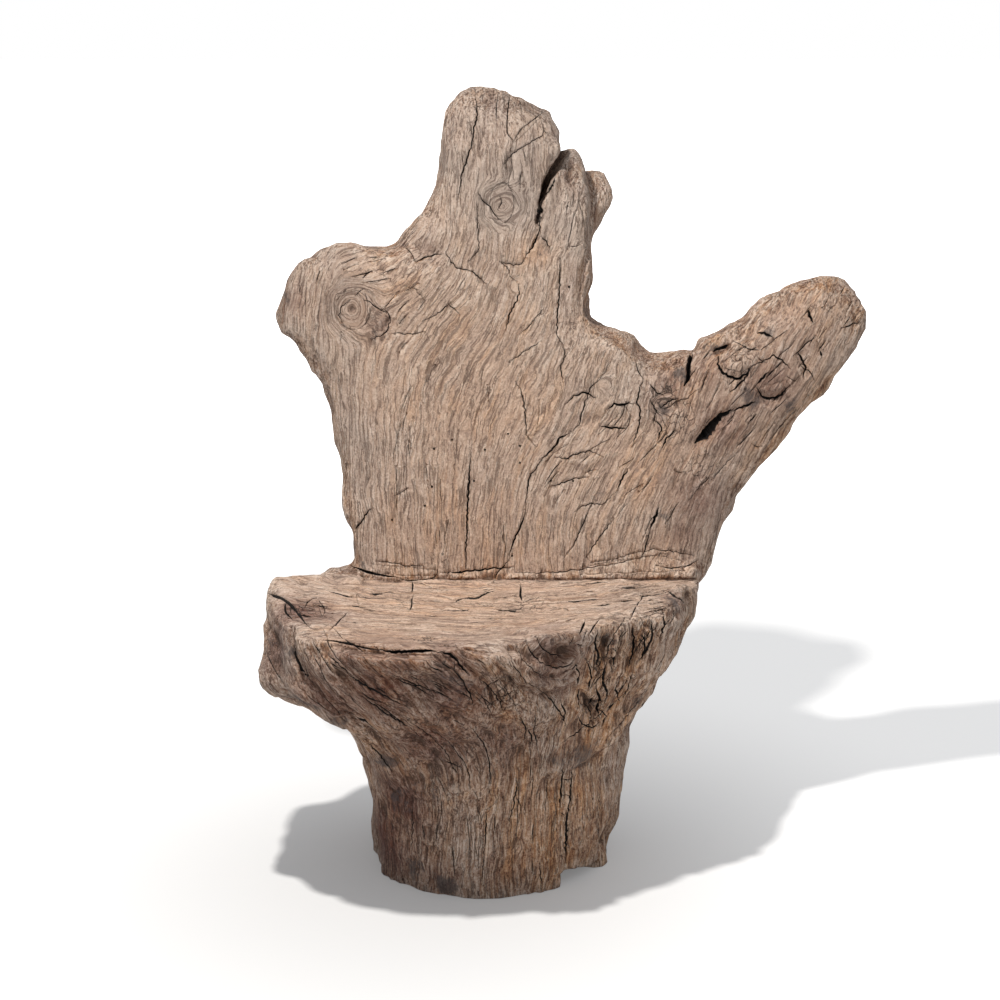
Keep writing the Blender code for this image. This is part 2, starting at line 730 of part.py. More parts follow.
def kerf_cut():
    """The corner of seat and backrest, where the two saw cuts met and ran a little too deep."""
    seat = SEAT_HEIGHT - SEAT_DISH / 2.0
    corner = (back_face(seat) + KERF_DEPTH, seat - KERF_DEPTH)
    forward = (back_face(seat) - KERF_REACH, seat + KERF_DEPTH)
    upward = (back_face(seat + KERF_REACH) - KERF_DEPTH, seat + KERF_REACH)
    left, right = (BACK_SLICE_SHARES[1][i] * BACK_WIDTH for i in (1, 2))
    near = [Vector((left + KERF_INSET, y, z)) for y, z in (corner, forward, upward)]
    far = [Vector((right - KERF_INSET, y, z)) for y, z in (corner, forward, upward)]
    return near, far


def floor_cut():
    """Everything below the floor."""
    reach = SEAT_WIDTH
    corners = ((-reach, -reach), (reach, -reach), (reach, reach), (-reach, reach))
    near = [Vector((x, y, -COLLAR_HEIGHT)) for x, y in corners]
    far = [Vector((x, y, 0.0)) for x, y in corners]
    return near, far


def guide_of(name, cuts):
    bm = bmesh.new()
    for rings in cuts:
        loft(bm, rings)
    return add_guide(name, bm)


def relief_courses():
    """Spread, push and places of all furrows and swellings, in metres."""
    stump_scale = Vector((SEAT_WIDTH / 2.0, SEAT_DEPTH, SEAT_HEIGHT))
    courses = []
    for spread, push, stations in STUMP_RELIEF_SHARES:
        places = [Vector(station) * stump_scale for station in stations]
        courses.append((spread * SEAT_DEPTH, push * SEAT_DEPTH, places))
    for width, reliefs in ((BACK_WIDTH, BACK_RELIEF_SHARES), (ARM_REACH, ARM_RELIEF_SHARES)):
        for spread, push, stations in reliefs:
            heights = [back_height(rise) for _, rise in stations]
            places = [
                Vector((x * width, back_face(height), height))
                for (x, _), height in zip(stations, heights)
            ]
            courses.append((spread * SEAT_DEPTH, push * SEAT_DEPTH, places))
    return courses


def distance_to(point, places):
    """How far a point is from the line through the places."""
    nearest = (point - places[0]).length
    for start, end in zip(places, places[1:]):
        leg = end - start
        share = min(max((point - start).dot(leg) / leg.length_squared, 0.0), 1.0)
        nearest = min(nearest, (point - start - leg * share).length)
    return nearest


def raw_share(point, normal):
    """One on raw root wood, nothing on the sawn seat and the sawn face of the back."""
    height_gap = abs(point.z - SEAT_HEIGHT) / SAWN_FACE_REACH
    depth_gap = (point.y - back_face(point.z)) / SAWN_FACE_REACH
    seat = smoothstep(2.0 - height_gap) * smoothstep(3.0 * normal.z - 1.2) * (depth_gap < 0.0)
    face = smoothstep(2.0 - abs(depth_gap)) * smoothstep(-3.0 * normal.y - 1.2)
    return 1.0 - max(seat, face * (point.z > SEAT_HEIGHT))


def hump(point):
    """How far the long humps of the raw wood push a place out, in metres."""
    above_foot = smoothstep((point.z - COLLAR_HEIGHT) / COLLAR_HEIGHT + 0.5)
    total = 0.0
    for length, height, direction in HUMP_SHARES:
        turns = point.dot(Vector(direction)) / (length * SEAT_DEPTH)
        total += height * SEAT_DEPTH * math.sin(math.tau * turns)
    return total * (FOOT_HUMP_SHARE + (1.0 - FOOT_HUMP_SHARE) * above_foot)


def weather(mesh):
    """Pushes the fused wood in and out along its normals, to its furrows, swellings and humps."""
    courses = relief_courses()
    pushes = []
    for vertex in mesh.vertices:
        push = raw_share(vertex.co, vertex.normal) * hump(vertex.co)
        for spread, height, places in courses:
            distance = distance_to(vertex.co, places) / spread
            if distance < 4.0:
                push += height * math.exp(-(distance**2) / 2.0)
        pushes.append(vertex.normal * push)
    for vertex, push in zip(mesh.vertices, pushes):
        vertex.co += push


def stump_blank():
    """All members fused, worn smooth and faceted, then sawn level and along its cuts."""
    bm = bmesh.new()
    loft(bm, stump_member())
    loft(bm, back_member(BACK_SLICE_SHARES, BACK_FACE_SQUARENESS))
    loft(bm, back_member(UPPER_LIMB_SHARES, LIMB_FACE_SQUARENESS))
    loft(bm, back_member(SPLIT_LIMB_SHARES, LIMB_FACE_SQUARENESS))
    loft(bm, back_member(REAR_STUB_SHARES, LIMB_FACE_SQUARENESS))
    loft(bm, arm_member())
    for station_shares in REAR_ROOT_SHARES:
        loft(bm, rear_root(station_shares))
    members = add_guide("stump_members", bm)
    fuse = members.modifiers.new("fuse", "REMESH")
    fuse.mode = "VOXEL"
    fuse.voxel_size = FUSE_SIZE
    wear = members.modifiers.new("wear", "SMOOTH")
    wear.factor = WEAR_FACTOR
    wear.iterations = WEAR_PASSES

    fused = add_object("fused_stump", evaluated_mesh(members))
    weather(fused.data)
    facet = fused.modifiers.new("facet", "DECIMATE")
    facet.ratio = min(1.0, FACET_COUNT / (2.0 * len(fused.data.polygons)))
    add_boolean(fused, "DIFFERENCE", guide_of("saw_cuts", [floor_cut(), kerf_cut()]))
    add_boolean(fused, "DIFFERENCE", guide_of("open_splits", [split_cut(), toe_notch()]))
    blank = evaluated_mesh(fused)
    bpy.data.objects.remove(fused)
    bpy.data.objects.remove(members)
    return blank


def shade(obj, material):
    obj.data.materials.clear()
    obj.data.materials.append(material)
    obj.data.shade_smooth()
    obj.data.set_sharp_from_angle(angle=math.radians(50))


LOOSE_PIECES = {
    "left_shoulder_knot": (shoulder_knot, "knot"),
    "upper_limb_knot": (limb_knot, "knot"),
    "arm_knot": (arm_knot, "knot"),
    "arm_burr": (arm_burr, "knot"),
    "crown_wedge": (crown_wedge, "sliver"),
    "back_chip": (back_chip, "sliver"),
    "left_crotch_sliver": (left_sliver, "sliver"),
    "right_crotch_sliver": (right_sliver, "sliver"),
    "front_lip_flake": (lip_flake, "sliver"),
    "base_splinter": (base_splinter, "sliver"),
}


def main():
    clear_scene()
    materials = {
        "root": wood_material("weathered_wood", WEATHERED_WOOD),
        "knot": wood_material("knot_wood", KNOT_WOOD),
        "sliver": wood_material("sliver_wood", SLIVER_WOOD),
    }
    blank = stump_blank()
    log = add_object("root_log", blank.copy())
    shade(log, materials["root"])
    pockets = [cut(PARTING_GAP) for cut, wood in LOOSE_PIECES.values()]
    add_boolean(log, "DIFFERENCE", guide_of("pockets", pockets))
    for name, (cut, wood) in LOOSE_PIECES.items():
        piece = add_object(name, blank.copy())
        shade(piece, materials[wood])
        add_boolean(piece, "INTERSECT", guide_of(name + "_shape", [cut(0.0)]))


main()
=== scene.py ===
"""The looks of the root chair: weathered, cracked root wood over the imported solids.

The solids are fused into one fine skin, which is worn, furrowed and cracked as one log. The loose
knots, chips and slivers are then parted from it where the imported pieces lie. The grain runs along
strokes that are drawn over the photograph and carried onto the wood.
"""

import itertools
import json
import math
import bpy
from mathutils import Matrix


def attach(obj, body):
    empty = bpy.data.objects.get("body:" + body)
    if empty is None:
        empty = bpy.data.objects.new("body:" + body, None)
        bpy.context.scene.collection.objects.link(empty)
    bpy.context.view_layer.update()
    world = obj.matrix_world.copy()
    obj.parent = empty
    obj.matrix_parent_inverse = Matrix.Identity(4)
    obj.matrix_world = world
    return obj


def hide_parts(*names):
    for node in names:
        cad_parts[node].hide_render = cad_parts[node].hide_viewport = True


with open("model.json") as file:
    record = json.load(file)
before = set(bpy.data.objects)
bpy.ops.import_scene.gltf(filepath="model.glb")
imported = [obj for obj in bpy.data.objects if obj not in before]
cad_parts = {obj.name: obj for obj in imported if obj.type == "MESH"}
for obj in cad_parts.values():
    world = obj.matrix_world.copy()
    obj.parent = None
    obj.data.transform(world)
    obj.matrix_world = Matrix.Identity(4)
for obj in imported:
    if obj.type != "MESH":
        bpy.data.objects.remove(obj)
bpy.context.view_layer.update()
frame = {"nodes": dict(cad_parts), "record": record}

from types import SimpleNamespace

import bmesh
import bpy
import numpy as np
from mathutils import Vector
from mathutils.bvhtree import BVHTree
from mathutils.kdtree import KDTree

# The camera, in the photograph's frame of 1000 by 1000 pixels
CAMERA_PLACE = Vector((0.004, -3.30, 1.45))
CAMERA_AIM = Vector((0.004, 0.10, 0.50))
LENS = 0.088
SENSOR = 0.036
PHOTO_SIZE = 1000.0
MILLIMETRE = 0.001
MILLIMETRES = 1000.0  # in a metre
FORWARD = (CAMERA_AIM - CAMERA_PLACE).normalized()
RIGHT = FORWARD.cross(Vector((0.0, 0.0, 1.0))).normalized()
UP = RIGHT.cross(FORWARD)

# The skin
SKIN_CELL = 0.0026
SKIN_PASSES = 12
FRONT_FACES = 94000
REAR_FACES = 26000
SEAT_LEVEL = 0.400
BACK_ROOT = 0.050  # where the backrest's face stands at the seat's level
BACK_LEAN = math.radians(4.5)
FLOOR_CLEARANCE = 0.0005
FOOT_TOUCH = 0.001  # up to this height a corner of the solids belongs to the foot's sawn face
FOOT_SPARE = 0.030  # how far the foot reaches below the floor until it is sawn level
SAME_PLACE = 0.00001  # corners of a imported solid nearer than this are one
JUST_HIDDEN = -0.10  # a face turned away from the camera by less counts as shown
CREASE_ANGLE = math.radians(48.0)
LATTICE_CELLS = 64
TINY = 1.0e-6

# Lines over the wood
REAR_VIEW = 2.0  # how far behind the chair the rear is seen from
LEVEL_WOOD = 0.45  # from this upward slant on a course is evened out
COURSE_LEAP = 0.026
FAR_AWAY = 1.0e9

# Strokes along the fibres, from the root up, as pixels of the photograph
BACK_STROKES = (
    ((500, 562), (498, 480)), ((460, 562), (457, 480)), ((480, 470), (477, 400)),
    ((522, 470), (519, 400)), ((382, 560), (368, 490)), ((364, 480), (348, 410)),
    ((402, 540), (389, 465)), ((432, 545), (425, 465)), ((346, 400), (334, 350)),
    ((388, 450), (392, 390)), ((400, 390), (424, 345)), ((424, 345), (462, 306)),
    ((424, 440), (432, 380)), ((440, 372), (474, 322)), ((460, 440), (468, 360)),
    ((380, 400), (388, 360)), ((388, 360), (410, 330)), ((410, 330), (446, 292)),
    ((302, 330), (300, 280)), ((318, 340), (316, 270)), ((300, 280), (316, 252)),
    ((340, 258), (400, 250)), ((360, 272), (420, 262)), ((400, 262), (436, 236)),
    ((440, 300), (456, 250)), ((472, 300), (472, 240)), ((458, 240), (452, 185)),
    ((452, 180), (462, 110)), ((476, 235), (474, 180)), ((480, 180), (482, 105)),
    ((532, 245), (530, 180)), ((520, 170), (512, 110)), ((547, 170), (532, 125)),
    ((500, 160), (498, 105)), ((506, 310), (506, 250)), ((576, 300), (574, 230)),
    ((562, 232), (572, 178)), ((590, 235), (596, 195)), ((584, 330), (586, 270)),
    ((545, 400), (546, 330)), ((572, 410), (570, 340)), ((522, 340), (520, 290)),
    ((590, 448), (612, 410)), ((612, 410), (636, 372)), ((600, 380), (606, 340)),
    ((560, 440), (572, 400)), ((640, 420), (660, 380)),
    ((530, 562), (530, 515)), ((530, 515), (544, 474)), ((544, 474), (580, 456)),
    ((580, 456), (622, 446)), ((556, 556), (560, 512)), ((562, 508), (592, 474)),
    ((592, 474), (640, 448)), ((584, 560), (604, 512)), ((606, 508), (650, 470)),
    ((620, 560), (640, 515)), ((642, 512), (684, 466)), ((655, 556), (680, 505)),
    ((684, 552), (700, 500)), ((682, 500), (716, 455)), ((700, 465), (742, 420)),
    ((716, 500), (756, 450)), ((742, 420), (790, 372)), ((660, 455), (694, 420)),
    ((690, 420), (716, 388)), ((690, 380), (716, 356)), ((790, 372), (832, 320)),
    ((768, 432), (812, 382)), ((812, 380), (846, 330)), ((716, 356), (770, 322)),
    ((770, 345), (806, 306)), ((800, 330), (828, 290)), ((664, 390), (680, 362)),
)
STUMP_STROKES = (
    ((400, 884), (394, 810)), ((450, 890), (449, 810)), ((500, 892), (500, 810)),
    ((552, 872), (554, 800)), ((600, 852), (606, 790)), ((424, 830), (420, 780)),
    ((520, 800), (524, 765)), ((470, 800), (462, 772)), ((574, 800), (582, 760)),
    ((394, 800), (366, 745)), ((366, 745), (322, 706)), ((322, 706), (276, 668)),
    ((440, 778), (396, 746)), ((396, 746), (346, 706)), ((346, 706), (300, 640)),
    ((500, 768), (440, 742)), ((440, 742), (384, 704)), ((384, 704), (330, 662)),
    ((500, 735), (440, 704)), ((440, 704), (376, 668)), ((470, 690), (400, 655)),
    ((520, 700), (480, 664)), ((480, 664), (440, 640)), ((540, 735), (536, 700)),
    ((280, 650), (276, 610)), ((296, 690), (288, 640)), ((536, 700), (520, 665)),
    ((556, 768), (604, 730)), ((604, 730), (646, 690)), ((610, 790), (632, 730)),
    ((632, 730), (660, 680)), ((560, 740), (590, 700)), ((590, 700), (618, 660)),
    ((618, 660), (640, 620)), ((650, 680), (684, 615)), ((560, 700), (590, 668)),
    ((590, 668), (600, 640)), ((640, 640), (672, 600)),
)
SEAT_STROKES = (
    ((284, 600), (340, 606)), ((340, 572), (392, 590)), ((392, 590), (460, 600)),
    ((372, 568), (440, 584)), ((460, 600), (540, 602)), ((440, 584), (520, 588)),
    ((540, 602), (620, 594)), ((520, 588), (600, 584)), ((620, 594), (690, 578)),
    ((600, 584), (670, 572)), ((320, 626), (400, 628)), ((400, 628), (480, 630)),
    ((480, 630), (556, 622)), ((556, 622), (630, 608)), ((630, 608), (688, 590)),
    ((300, 612), (370, 616)), ((370, 616), (450, 616)), ((450, 616), (530, 612)),
    ((530, 612), (610, 602)),
)
STROKE_REACH = 0.030  # how far a stroke draws the fibres its way
REST_PULL = 0.02  # of the plain direction, against a stroke's
SHORTEST_STROKE = 0.001
CHART_STEP = 0.008
CURL_CELLS = 27.0  # per metre, of the noise that curls the fibres
CURL_REACH = 0.0034
SEAT_CURL_CELLS = 30.0
SEAT_CURL_REACH = 0.0055
KNOT_CELLS = 28.0
KNOT_RIPPLE = 0.60  # of the rings' radius
KNOT_HOLD = 0.9

# Knots: middle in the photograph, radius of the rings, radius where the straight grain is back
KNOTS = (
    ((353, 310), 0.020, 0.052),
    ((503, 206), 0.014, 0.040),
    ((550, 656), 0.024, 0.062),
    ((606, 384), 0.005, 0.018),
    ((515, 284), 0.005, 0.016),
    ((664, 404), 0.006, 0.020),
)
DENSE_KNOTS = 3  # how many of them, from the first, are dense and darker

# Cracks as pixels of the photograph: width and depth in millimetres, then the crack's course
CRACKS = (
    # upper limb
    (1.9, 14, (474, 88), (477, 104), (477, 117), (474, 127), (471, 148), (462, 173), (458, 200)),
    (1.5, 9, (510, 96), (507, 116), (507, 135), (514, 141)),
    (1.6, 12, (549, 110), (543, 112), (533, 120), (522, 128), (516, 137), (514, 141)),
    (1.9, 14, (545, 128), (543, 135), (534, 140), (520, 149), (511, 155), (503, 166)),
    (1.0, 6, (541, 118), (544, 131), (550, 136)),
    (4.6, 24, (556, 176), (549, 188), (544, 198), (541, 210), (539, 222), (540, 232)),
    (2.6, 20, (540, 226), (538, 236), (533, 246), (525, 258)),
    (1.3, 8, (541, 236), (546, 241), (550, 249)),
    (1.4, 8, (478, 192), (484, 202), (490, 207), (495, 216), (503, 222)),
    (1.0, 5, (500, 196), (502, 203), (498, 210)),
    (1.0, 6, (477, 204), (478, 225), (479, 250), (473, 257), (468, 262)),
    (2.2, 13, (445, 252), (451, 262), (457, 268), (466, 270), (472, 271), (480, 278), (486, 284)),
    (1.6, 10, (526, 257), (521, 264), (513, 265), (500, 262), (508, 268), (510, 276), (517, 281)),
    (1.8, 10, (519, 284), (519, 294), (516, 303), (510, 313), (506, 330)),
    (1.7, 14, (561, 259), (560, 280), (559, 300), (557, 320), (557, 334), (563, 345)),
    (1.4, 9, (563, 345), (565, 356), (561, 366), (563, 383)),
    (1.2, 7, (405, 247), (412, 254), (416, 262)),
    (2.6, 12, (416, 262), (424, 258), (433, 255), (443, 254)),
    (1.2, 6, (380, 275), (390, 270), (398, 268)),
    # left shoulder
    (1.6, 9, (363, 299), (371, 303), (379, 309), (386, 312)),
    (2.8, 12, (384, 309), (389, 315), (390, 322), (387, 331), (380, 336), (372, 339)),
    (1.2, 6, (350, 301), (342, 306), (339, 315), (342, 323)),
    (2.4, 10, (363, 278), (367, 274), (371, 271)),
    (1.3, 6, (392, 333), (405, 334), (415, 334), (425, 332)),
    (1.3, 6, (423, 321), (432, 317), (440, 312), (448, 304), (454, 309), (460, 315)),
    (1.0, 5, (404, 286), (416, 290), (424, 300)),
    # backrest
    (1.2, 6, (520, 335), (531, 324), (543, 309)),
    (1.3, 6, (510, 362), (524, 352), (541, 341)),
    (1.4, 8, (516, 381), (523, 396), (525, 410), (526, 435), (532, 442), (537, 447)),
    (1.6, 12, (610, 362), (604, 373), (596, 383), (590, 389), (585, 403), (579, 425), (569, 433)),
    (3.6, 16, (569, 433), (560, 438), (555, 446), (548, 454), (543, 458)),
    (2.2, 15, (543, 458), (536, 468), (530, 476), (527, 490), (526, 507)),
    (2.0, 14, (526, 507), (524, 520), (518, 532), (511, 547), (509, 560)),
    (1.4, 8, (509, 560), (503, 567), (497, 573), (492, 584)),
    (2.4, 16, (471, 452), (470, 470), (468, 499), (467, 520), (467, 531), (466, 550), (466, 568)),
    (2.0, 10, (351, 538), (356, 529), (360, 523), (366, 514), (371, 509)),
    (1.1, 5, (395, 496), (402, 492), (408, 488)),
    (2.2, 8, (555, 457), (566, 459), (576, 454), (590, 451), (604, 457)),
    (1.8, 7, (550, 487), (562, 483), (574, 479), (588, 477)),
    (3.2, 9, (600, 426), (610, 428), (619, 428), (627, 428)),
    (3.0, 9, (608, 409), (614, 404), (624, 405), (630, 402)),
    (1.8, 10, (644, 378), (640, 388), (637, 402), (641, 411), (638, 430), (633, 446)),
    (1.4, 7, (636, 360), (638, 371), (644, 380)),
    (3.4, 14, (628, 469), (622, 479), (617, 490)),
    (1.3, 9, (617, 490), (610, 498), (602, 505), (592, 504), (583, 506), (574, 512)),
    (1.3, 8, (592, 504), (585, 520), (576, 541), (564, 558)),
    (1.3, 8, (614, 518), (604, 532), (592, 548), (585, 559)),
    (3.6, 14, (659, 508), (655, 518), (650, 529)),
    (1.5, 8, (650, 529), (648, 540), (645, 549), (640, 560)),
    (2.4, 9, (566, 404), (574, 396), (585, 392), (596, 398)),
    (1.8, 7, (660, 408), (668, 402), (678, 398)),
    (2.2, 8, (655, 420), (662, 428), (658, 440)),
    (2.0, 8, (650, 384), (656, 392), (664, 396)),
    # saw kerf and the split wood along it
    (2.2, 7, (440, 573), (460, 572), (480, 570), (500, 568), (514, 567)),
    (1.4, 5, (516, 573), (536, 573), (560, 572), (584, 569), (610, 565), (640, 558), (668, 553)),
    (3.4, 10, (352, 566), (362, 570), (374, 574), (386, 576), (396, 577)),
    (1.8, 7, (396, 577), (408, 581), (422, 580), (437, 577), (438, 569)),
    (1.4, 6, (376, 561), (392, 563), (408, 566), (424, 566)),
    (2.8, 8, (412, 580), (413, 586), (412, 592)),
    (1.5, 6, (590, 563), (612, 560), (636, 553), (656, 549), (676, 552), (694, 556)),
    (1.7, 6, (656, 566), (672, 568), (688, 566), (698, 560)),
    # seat
    (4.2, 9, (453, 603), (459, 599), (467, 597), (475, 599), (481, 596), (488, 592), (497, 590)),
    (3.0, 9, (521, 584), (521, 590), (520, 596), (522, 601)),
    (2.4, 8, (522, 603), (529, 600), (536, 597), (544, 596)),
    (3.2, 9, (560, 599), (570, 602), (580, 601), (592, 599), (602, 600)),
    (2.6, 8, (548, 606), (560, 608), (572, 611), (584, 613)),
    (2.8, 8, (616, 587), (630, 588), (643, 587), (656, 585)),
    (2.6, 8, (409, 611), (413, 605), (411, 599), (414, 594)),
    (2.8, 8, (366, 593), (378, 594), (390, 592), (400, 593)),
    (2.4, 8, (322, 589), (334, 592), (346, 596), (356, 597)),
    (2.2, 7, (586, 584), (598, 582), (612, 583), (624, 582)),
    (2.6, 8, (388, 630), (402, 631), (416, 630), (430, 631)),
    (2.2, 7, (474, 622), (486, 624), (498, 623), (508, 624)),
    (2.4, 8, (434, 612), (448, 610), (462, 611), (476, 609)),
    (2.2, 7, (494, 609), (508, 611), (522, 610)),
    (2.6, 8, (592, 606), (608, 604), (622, 601), (636, 600)),
    (2.2, 7, (424, 590), (438, 591), (452, 590)),
    (2.4, 8, (348, 606), (364, 607), (380, 606)),
    (2.0, 7, (636, 597), (652, 595), (668, 592)),
    # rim and left corner
    (3.6, 16, (326, 640), (338, 642), (352, 645), (366, 648), (378, 650)),
    (5.0, 18, (378, 650), (392, 652), (404, 652), (418, 651), (430, 651), (440, 653)),
    (4.0, 16, (440, 652), (450, 654), (456, 660), (462, 667), (468, 674)),
    (5.0, 16, (268, 593), (278, 597), (287, 601), (294, 608), (300, 616), (307, 625)),
    (2.8, 12, (295, 609), (303, 607), (311, 608), (318, 611)),
    (2.4, 11, (287, 602), (284, 608), (287, 615), (293, 620)),
    (2.4, 11, (299, 616), (306, 615), (313, 617)),
    (2.2, 10, (305, 607), (308, 601), (316, 597)),
    (1.8, 7, (307, 625), (312, 630), (322, 628), (330, 624)),
    (1.8, 7, (316, 598), (322, 604), (326, 612), (320, 618)),
    (3.0, 9, (294, 643), (295, 652), (298, 662), (304, 672), (311, 682)),
    (2.6, 9, (328, 655), (336, 662), (344, 670), (352, 676)),
    (2.2, 7, (348, 612), (340, 620), (330, 630)),
    # front of the flare
    (2.2, 9, (490, 668), (498, 680), (506, 690), (512, 700), (518, 712)),
    (1.6, 6, (482, 680), (492, 690), (500, 702), (504, 712)),
    (1.6, 6, (476, 690), (484, 700), (492, 714)),
    (1.4, 5, (482, 692), (490, 684), (498, 680), (508, 676)),
    (1.4, 5, (490, 704), (500, 698), (508, 694), (516, 690)),
    (1.4, 5, (498, 714), (506, 708), (514, 706), (524, 700)),
    (2.6, 11, (432, 730), (448, 742), (462, 759), (469, 773), (470, 789)),
    (3.4, 11, (354, 716), (366, 722), (378, 732)),
    (2.0, 8, (366, 742), (378, 752), (386, 764), (394, 772)),
    (2.2, 9, (340, 668), (362, 684), (388, 698), (410, 708)),
    (1.8, 8, (356, 692), (384, 712), (410, 728), (430, 744)),
    (2.0, 8, (388, 672), (414, 684), (440, 694), (462, 706)),
    (1.6, 7, (402, 716), (428, 734), (446, 752), (456, 772)),
    (1.8, 8, (470, 726), (484, 744), (490, 764), (490, 786)),
    (1.6, 7, (318, 676), (338, 696), (362, 714)),
    (2.0, 8, (560, 744), (578, 732), (598, 716), (616, 700)),
    (1.8, 8, (606, 740), (622, 722), (640, 700), (650, 684)),
    (1.6, 7, (536, 712), (534, 730), (538, 748)),
    (3.6, 12, (664, 590), (672, 594), (680, 600), (686, 604)),
    (3.4, 12, (632, 626), (634, 640), (632, 654), (628, 668)),
    (3.0, 10, (642, 632), (645, 646), (642, 658)),
    (2.8, 10, (614, 636), (608, 648), (606, 658)),
    (2.6, 9, (622, 632), (618, 646), (614, 660), (612, 672)),
    (3.4, 11, (580, 688), (578, 698), (580, 708)),
    (3.2, 11, (596, 686), (600, 698), (596, 708), (600, 718)),
    (2.2, 8, (578, 716), (582, 724), (592, 728), (600, 722)),
    (2.0, 7, (598, 708), (606, 716), (602, 726)),
    (1.8, 7, (528, 728), (532, 738), (530, 746)),
    (3.8, 12, (598, 630), (595, 643), (599, 656), (595, 669)),
    (3.6, 11, (651, 620), (653, 634), (648, 648), (639, 661)),
    (3.2, 10, (663, 610), (665, 624), (660, 639)),
    (3.6, 11, (587, 662), (592, 676), (588, 690)),
    (3.8, 12, (606, 666), (603, 682), (608, 694), (603, 708)),
    (3.0, 9, (621, 674), (616, 690), (620, 703)),
    (3.2, 10, (575, 662), (580, 676), (576, 687)),
    (2.8, 9, (633, 670), (629, 686), (622, 701)),
    (2.4, 8, (586, 704), (592, 716), (588, 729)),
    (2.2, 8, (560, 700), (566, 712), (562, 725)),
    (2.2, 8, (672, 604), (674, 616), (669, 628)),
    (2.0, 7, (540, 690), (552, 700), (560, 712), (566, 726)),
    (1.8, 7, (526, 640), (531, 652), (541, 662), (555, 668), (568, 666), (576, 658)),
    (1.5, 6, (536, 636), (541, 647), (551, 654), (563, 656)),
    (1.4, 6, (516, 644), (523, 660), (536, 673), (554, 680), (568, 679)),
    (1.2, 5, (508, 648), (514, 666), (526, 682), (542, 691)),
    (1.0, 5, (550, 640), (558, 645), (567, 646), (575, 642)),
    (2.2, 7, (452, 668), (462, 680), (470, 694), (474, 706)),
    (1.8, 7, (520, 716), (526, 728), (524, 742)),
    # foot
    (2.6, 11, (516, 778), (517, 788), (515, 795), (513, 808), (510, 818), (509, 828)),
    (1.3, 6, (516, 796), (521, 806), (520, 815)),
    (2.8, 12, (563, 768), (562, 780), (561, 795), (560, 804), (559, 812)),
    (3.0, 15, (575, 760), (572, 772), (571, 790), (569, 806), (567, 822), (566, 845), (565, 866)),
    (1.4, 6, (561, 778), (567, 780), (573, 778)),
    (1.4, 6, (560, 796), (566, 795), (572, 797)),
    (1.2, 5, (559, 812), (564, 815), (568, 812)),
    (1.8, 8, (600, 790), (599, 824), (598, 852)),
    (1.9, 8, (487, 812), (484, 850), (482, 886)),
    (1.2, 6, (540, 864), (541, 878), (542, 886)),
    (1.7, 7, (412, 796), (413, 825), (411, 856)),
    (1.1, 6, (548, 776), (546, 800), (545, 820)),
    # right arm
    (6.4, 18, (693, 350), (690, 358), (688, 368), (689, 378), (684, 386)),
    (6.2, 14, (713, 352), (721, 348), (729, 345)),
    (3.4, 11, (719, 356), (718, 364), (722, 372), (730, 377), (738, 379), (746, 374), (752, 366)),
    (1.8, 9, (752, 366), (762, 362), (774, 355), (784, 362), (791, 369)),
    (1.6, 8, (733, 341), (742, 345), (750, 350), (762, 350)),
    (6.0, 13, (756, 388), (761, 396), (770, 399), (780, 396), (789, 386)),
    (3.0, 9, (750, 366), (747, 376), (740, 384), (730, 392)),
    (9.0, 22, (694, 443), (702, 436), (712, 425), (722, 415), (732, 410)),
    (3.0, 10, (733, 411), (744, 406), (756, 402)),
    (1.4, 7, (708, 372), (704, 382), (700, 392)),
    (3.8, 10, (798, 352), (802, 360), (806, 368), (803, 378)),
    (2.2, 8, (800, 366), (810, 372), (815, 381)),
    (4.2, 9, (808, 310), (810, 316), (813, 323)),
    (3.8, 9, (820, 351), (822, 357)),
    (1.8, 7, (842, 328), (850, 325), (860, 322)),
    (4.0, 8, (757, 333), (764, 333), (772, 337)),
    (4.4, 9, (768, 372), (763, 378), (757, 384)),
    (1.6, 7, (665, 410), (676, 402), (688, 398), (700, 388)),
    (2.6, 8, (662, 448), (667, 438), (676, 430)),
    (1.4, 6, (650, 398), (656, 410), (654, 424)),
    (1.3, 6, (770, 440), (782, 424), (796, 410)),
    (1.3, 6, (712, 480), (724, 466), (738, 452)),
    (1.2, 6, (690, 500), (700, 486), (712, 474)),
)
BEETLE_HOLES = (
    (569, 287), (508, 434), (520, 446), (452, 440), (434, 449), (485, 450), (520, 463),
    (474, 481), (551, 481), (573, 481), (425, 506), (809, 312), (593, 799), (606, 606),
    (460, 572), (512, 556), (432, 487), (392, 520), (366, 600), (414, 604),
)
BEETLE_HOLE_WIDTH = 0.0036
BEETLE_HOLE_DEPTH = 0.012

# Drying cracks behind, as x and z in metres on the wood that faces away from the photograph
REAR_CRACKS = (
    (3.0, 20, (0.02, 0.12), (0.03, 0.24), (0.01, 0.36), (0.02, 0.47), (0.00, 0.58), (0.01, 0.66)),
    (2.4, 16, (-0.10, 0.10), (-0.12, 0.22), (-0.11, 0.33), (-0.14, 0.44)),
    (2.2, 14, (0.12, 0.14), (0.13, 0.28), (0.17, 0.40), (0.20, 0.49)),
    (2.6, 16, (-0.03, 0.62), (-0.02, 0.74), (0.00, 0.86), (-0.01, 0.97)),
    (2.0, 12, (0.26, 0.56), (0.32, 0.63), (0.38, 0.69), (0.43, 0.76)),
    (2.0, 12, (-0.16, 0.52), (-0.18, 0.62), (-0.21, 0.70), (-0.22, 0.78)),
    (1.6, 9, (0.07, 0.50), (0.09, 0.60), (0.11, 0.70), (0.10, 0.80)),
    (1.6, 9, (-0.07, 0.04), (-0.06, 0.10), (-0.07, 0.18)),
    (1.6, 9, (0.06, 0.03), (0.07, 0.12), (0.06, 0.22)),
)

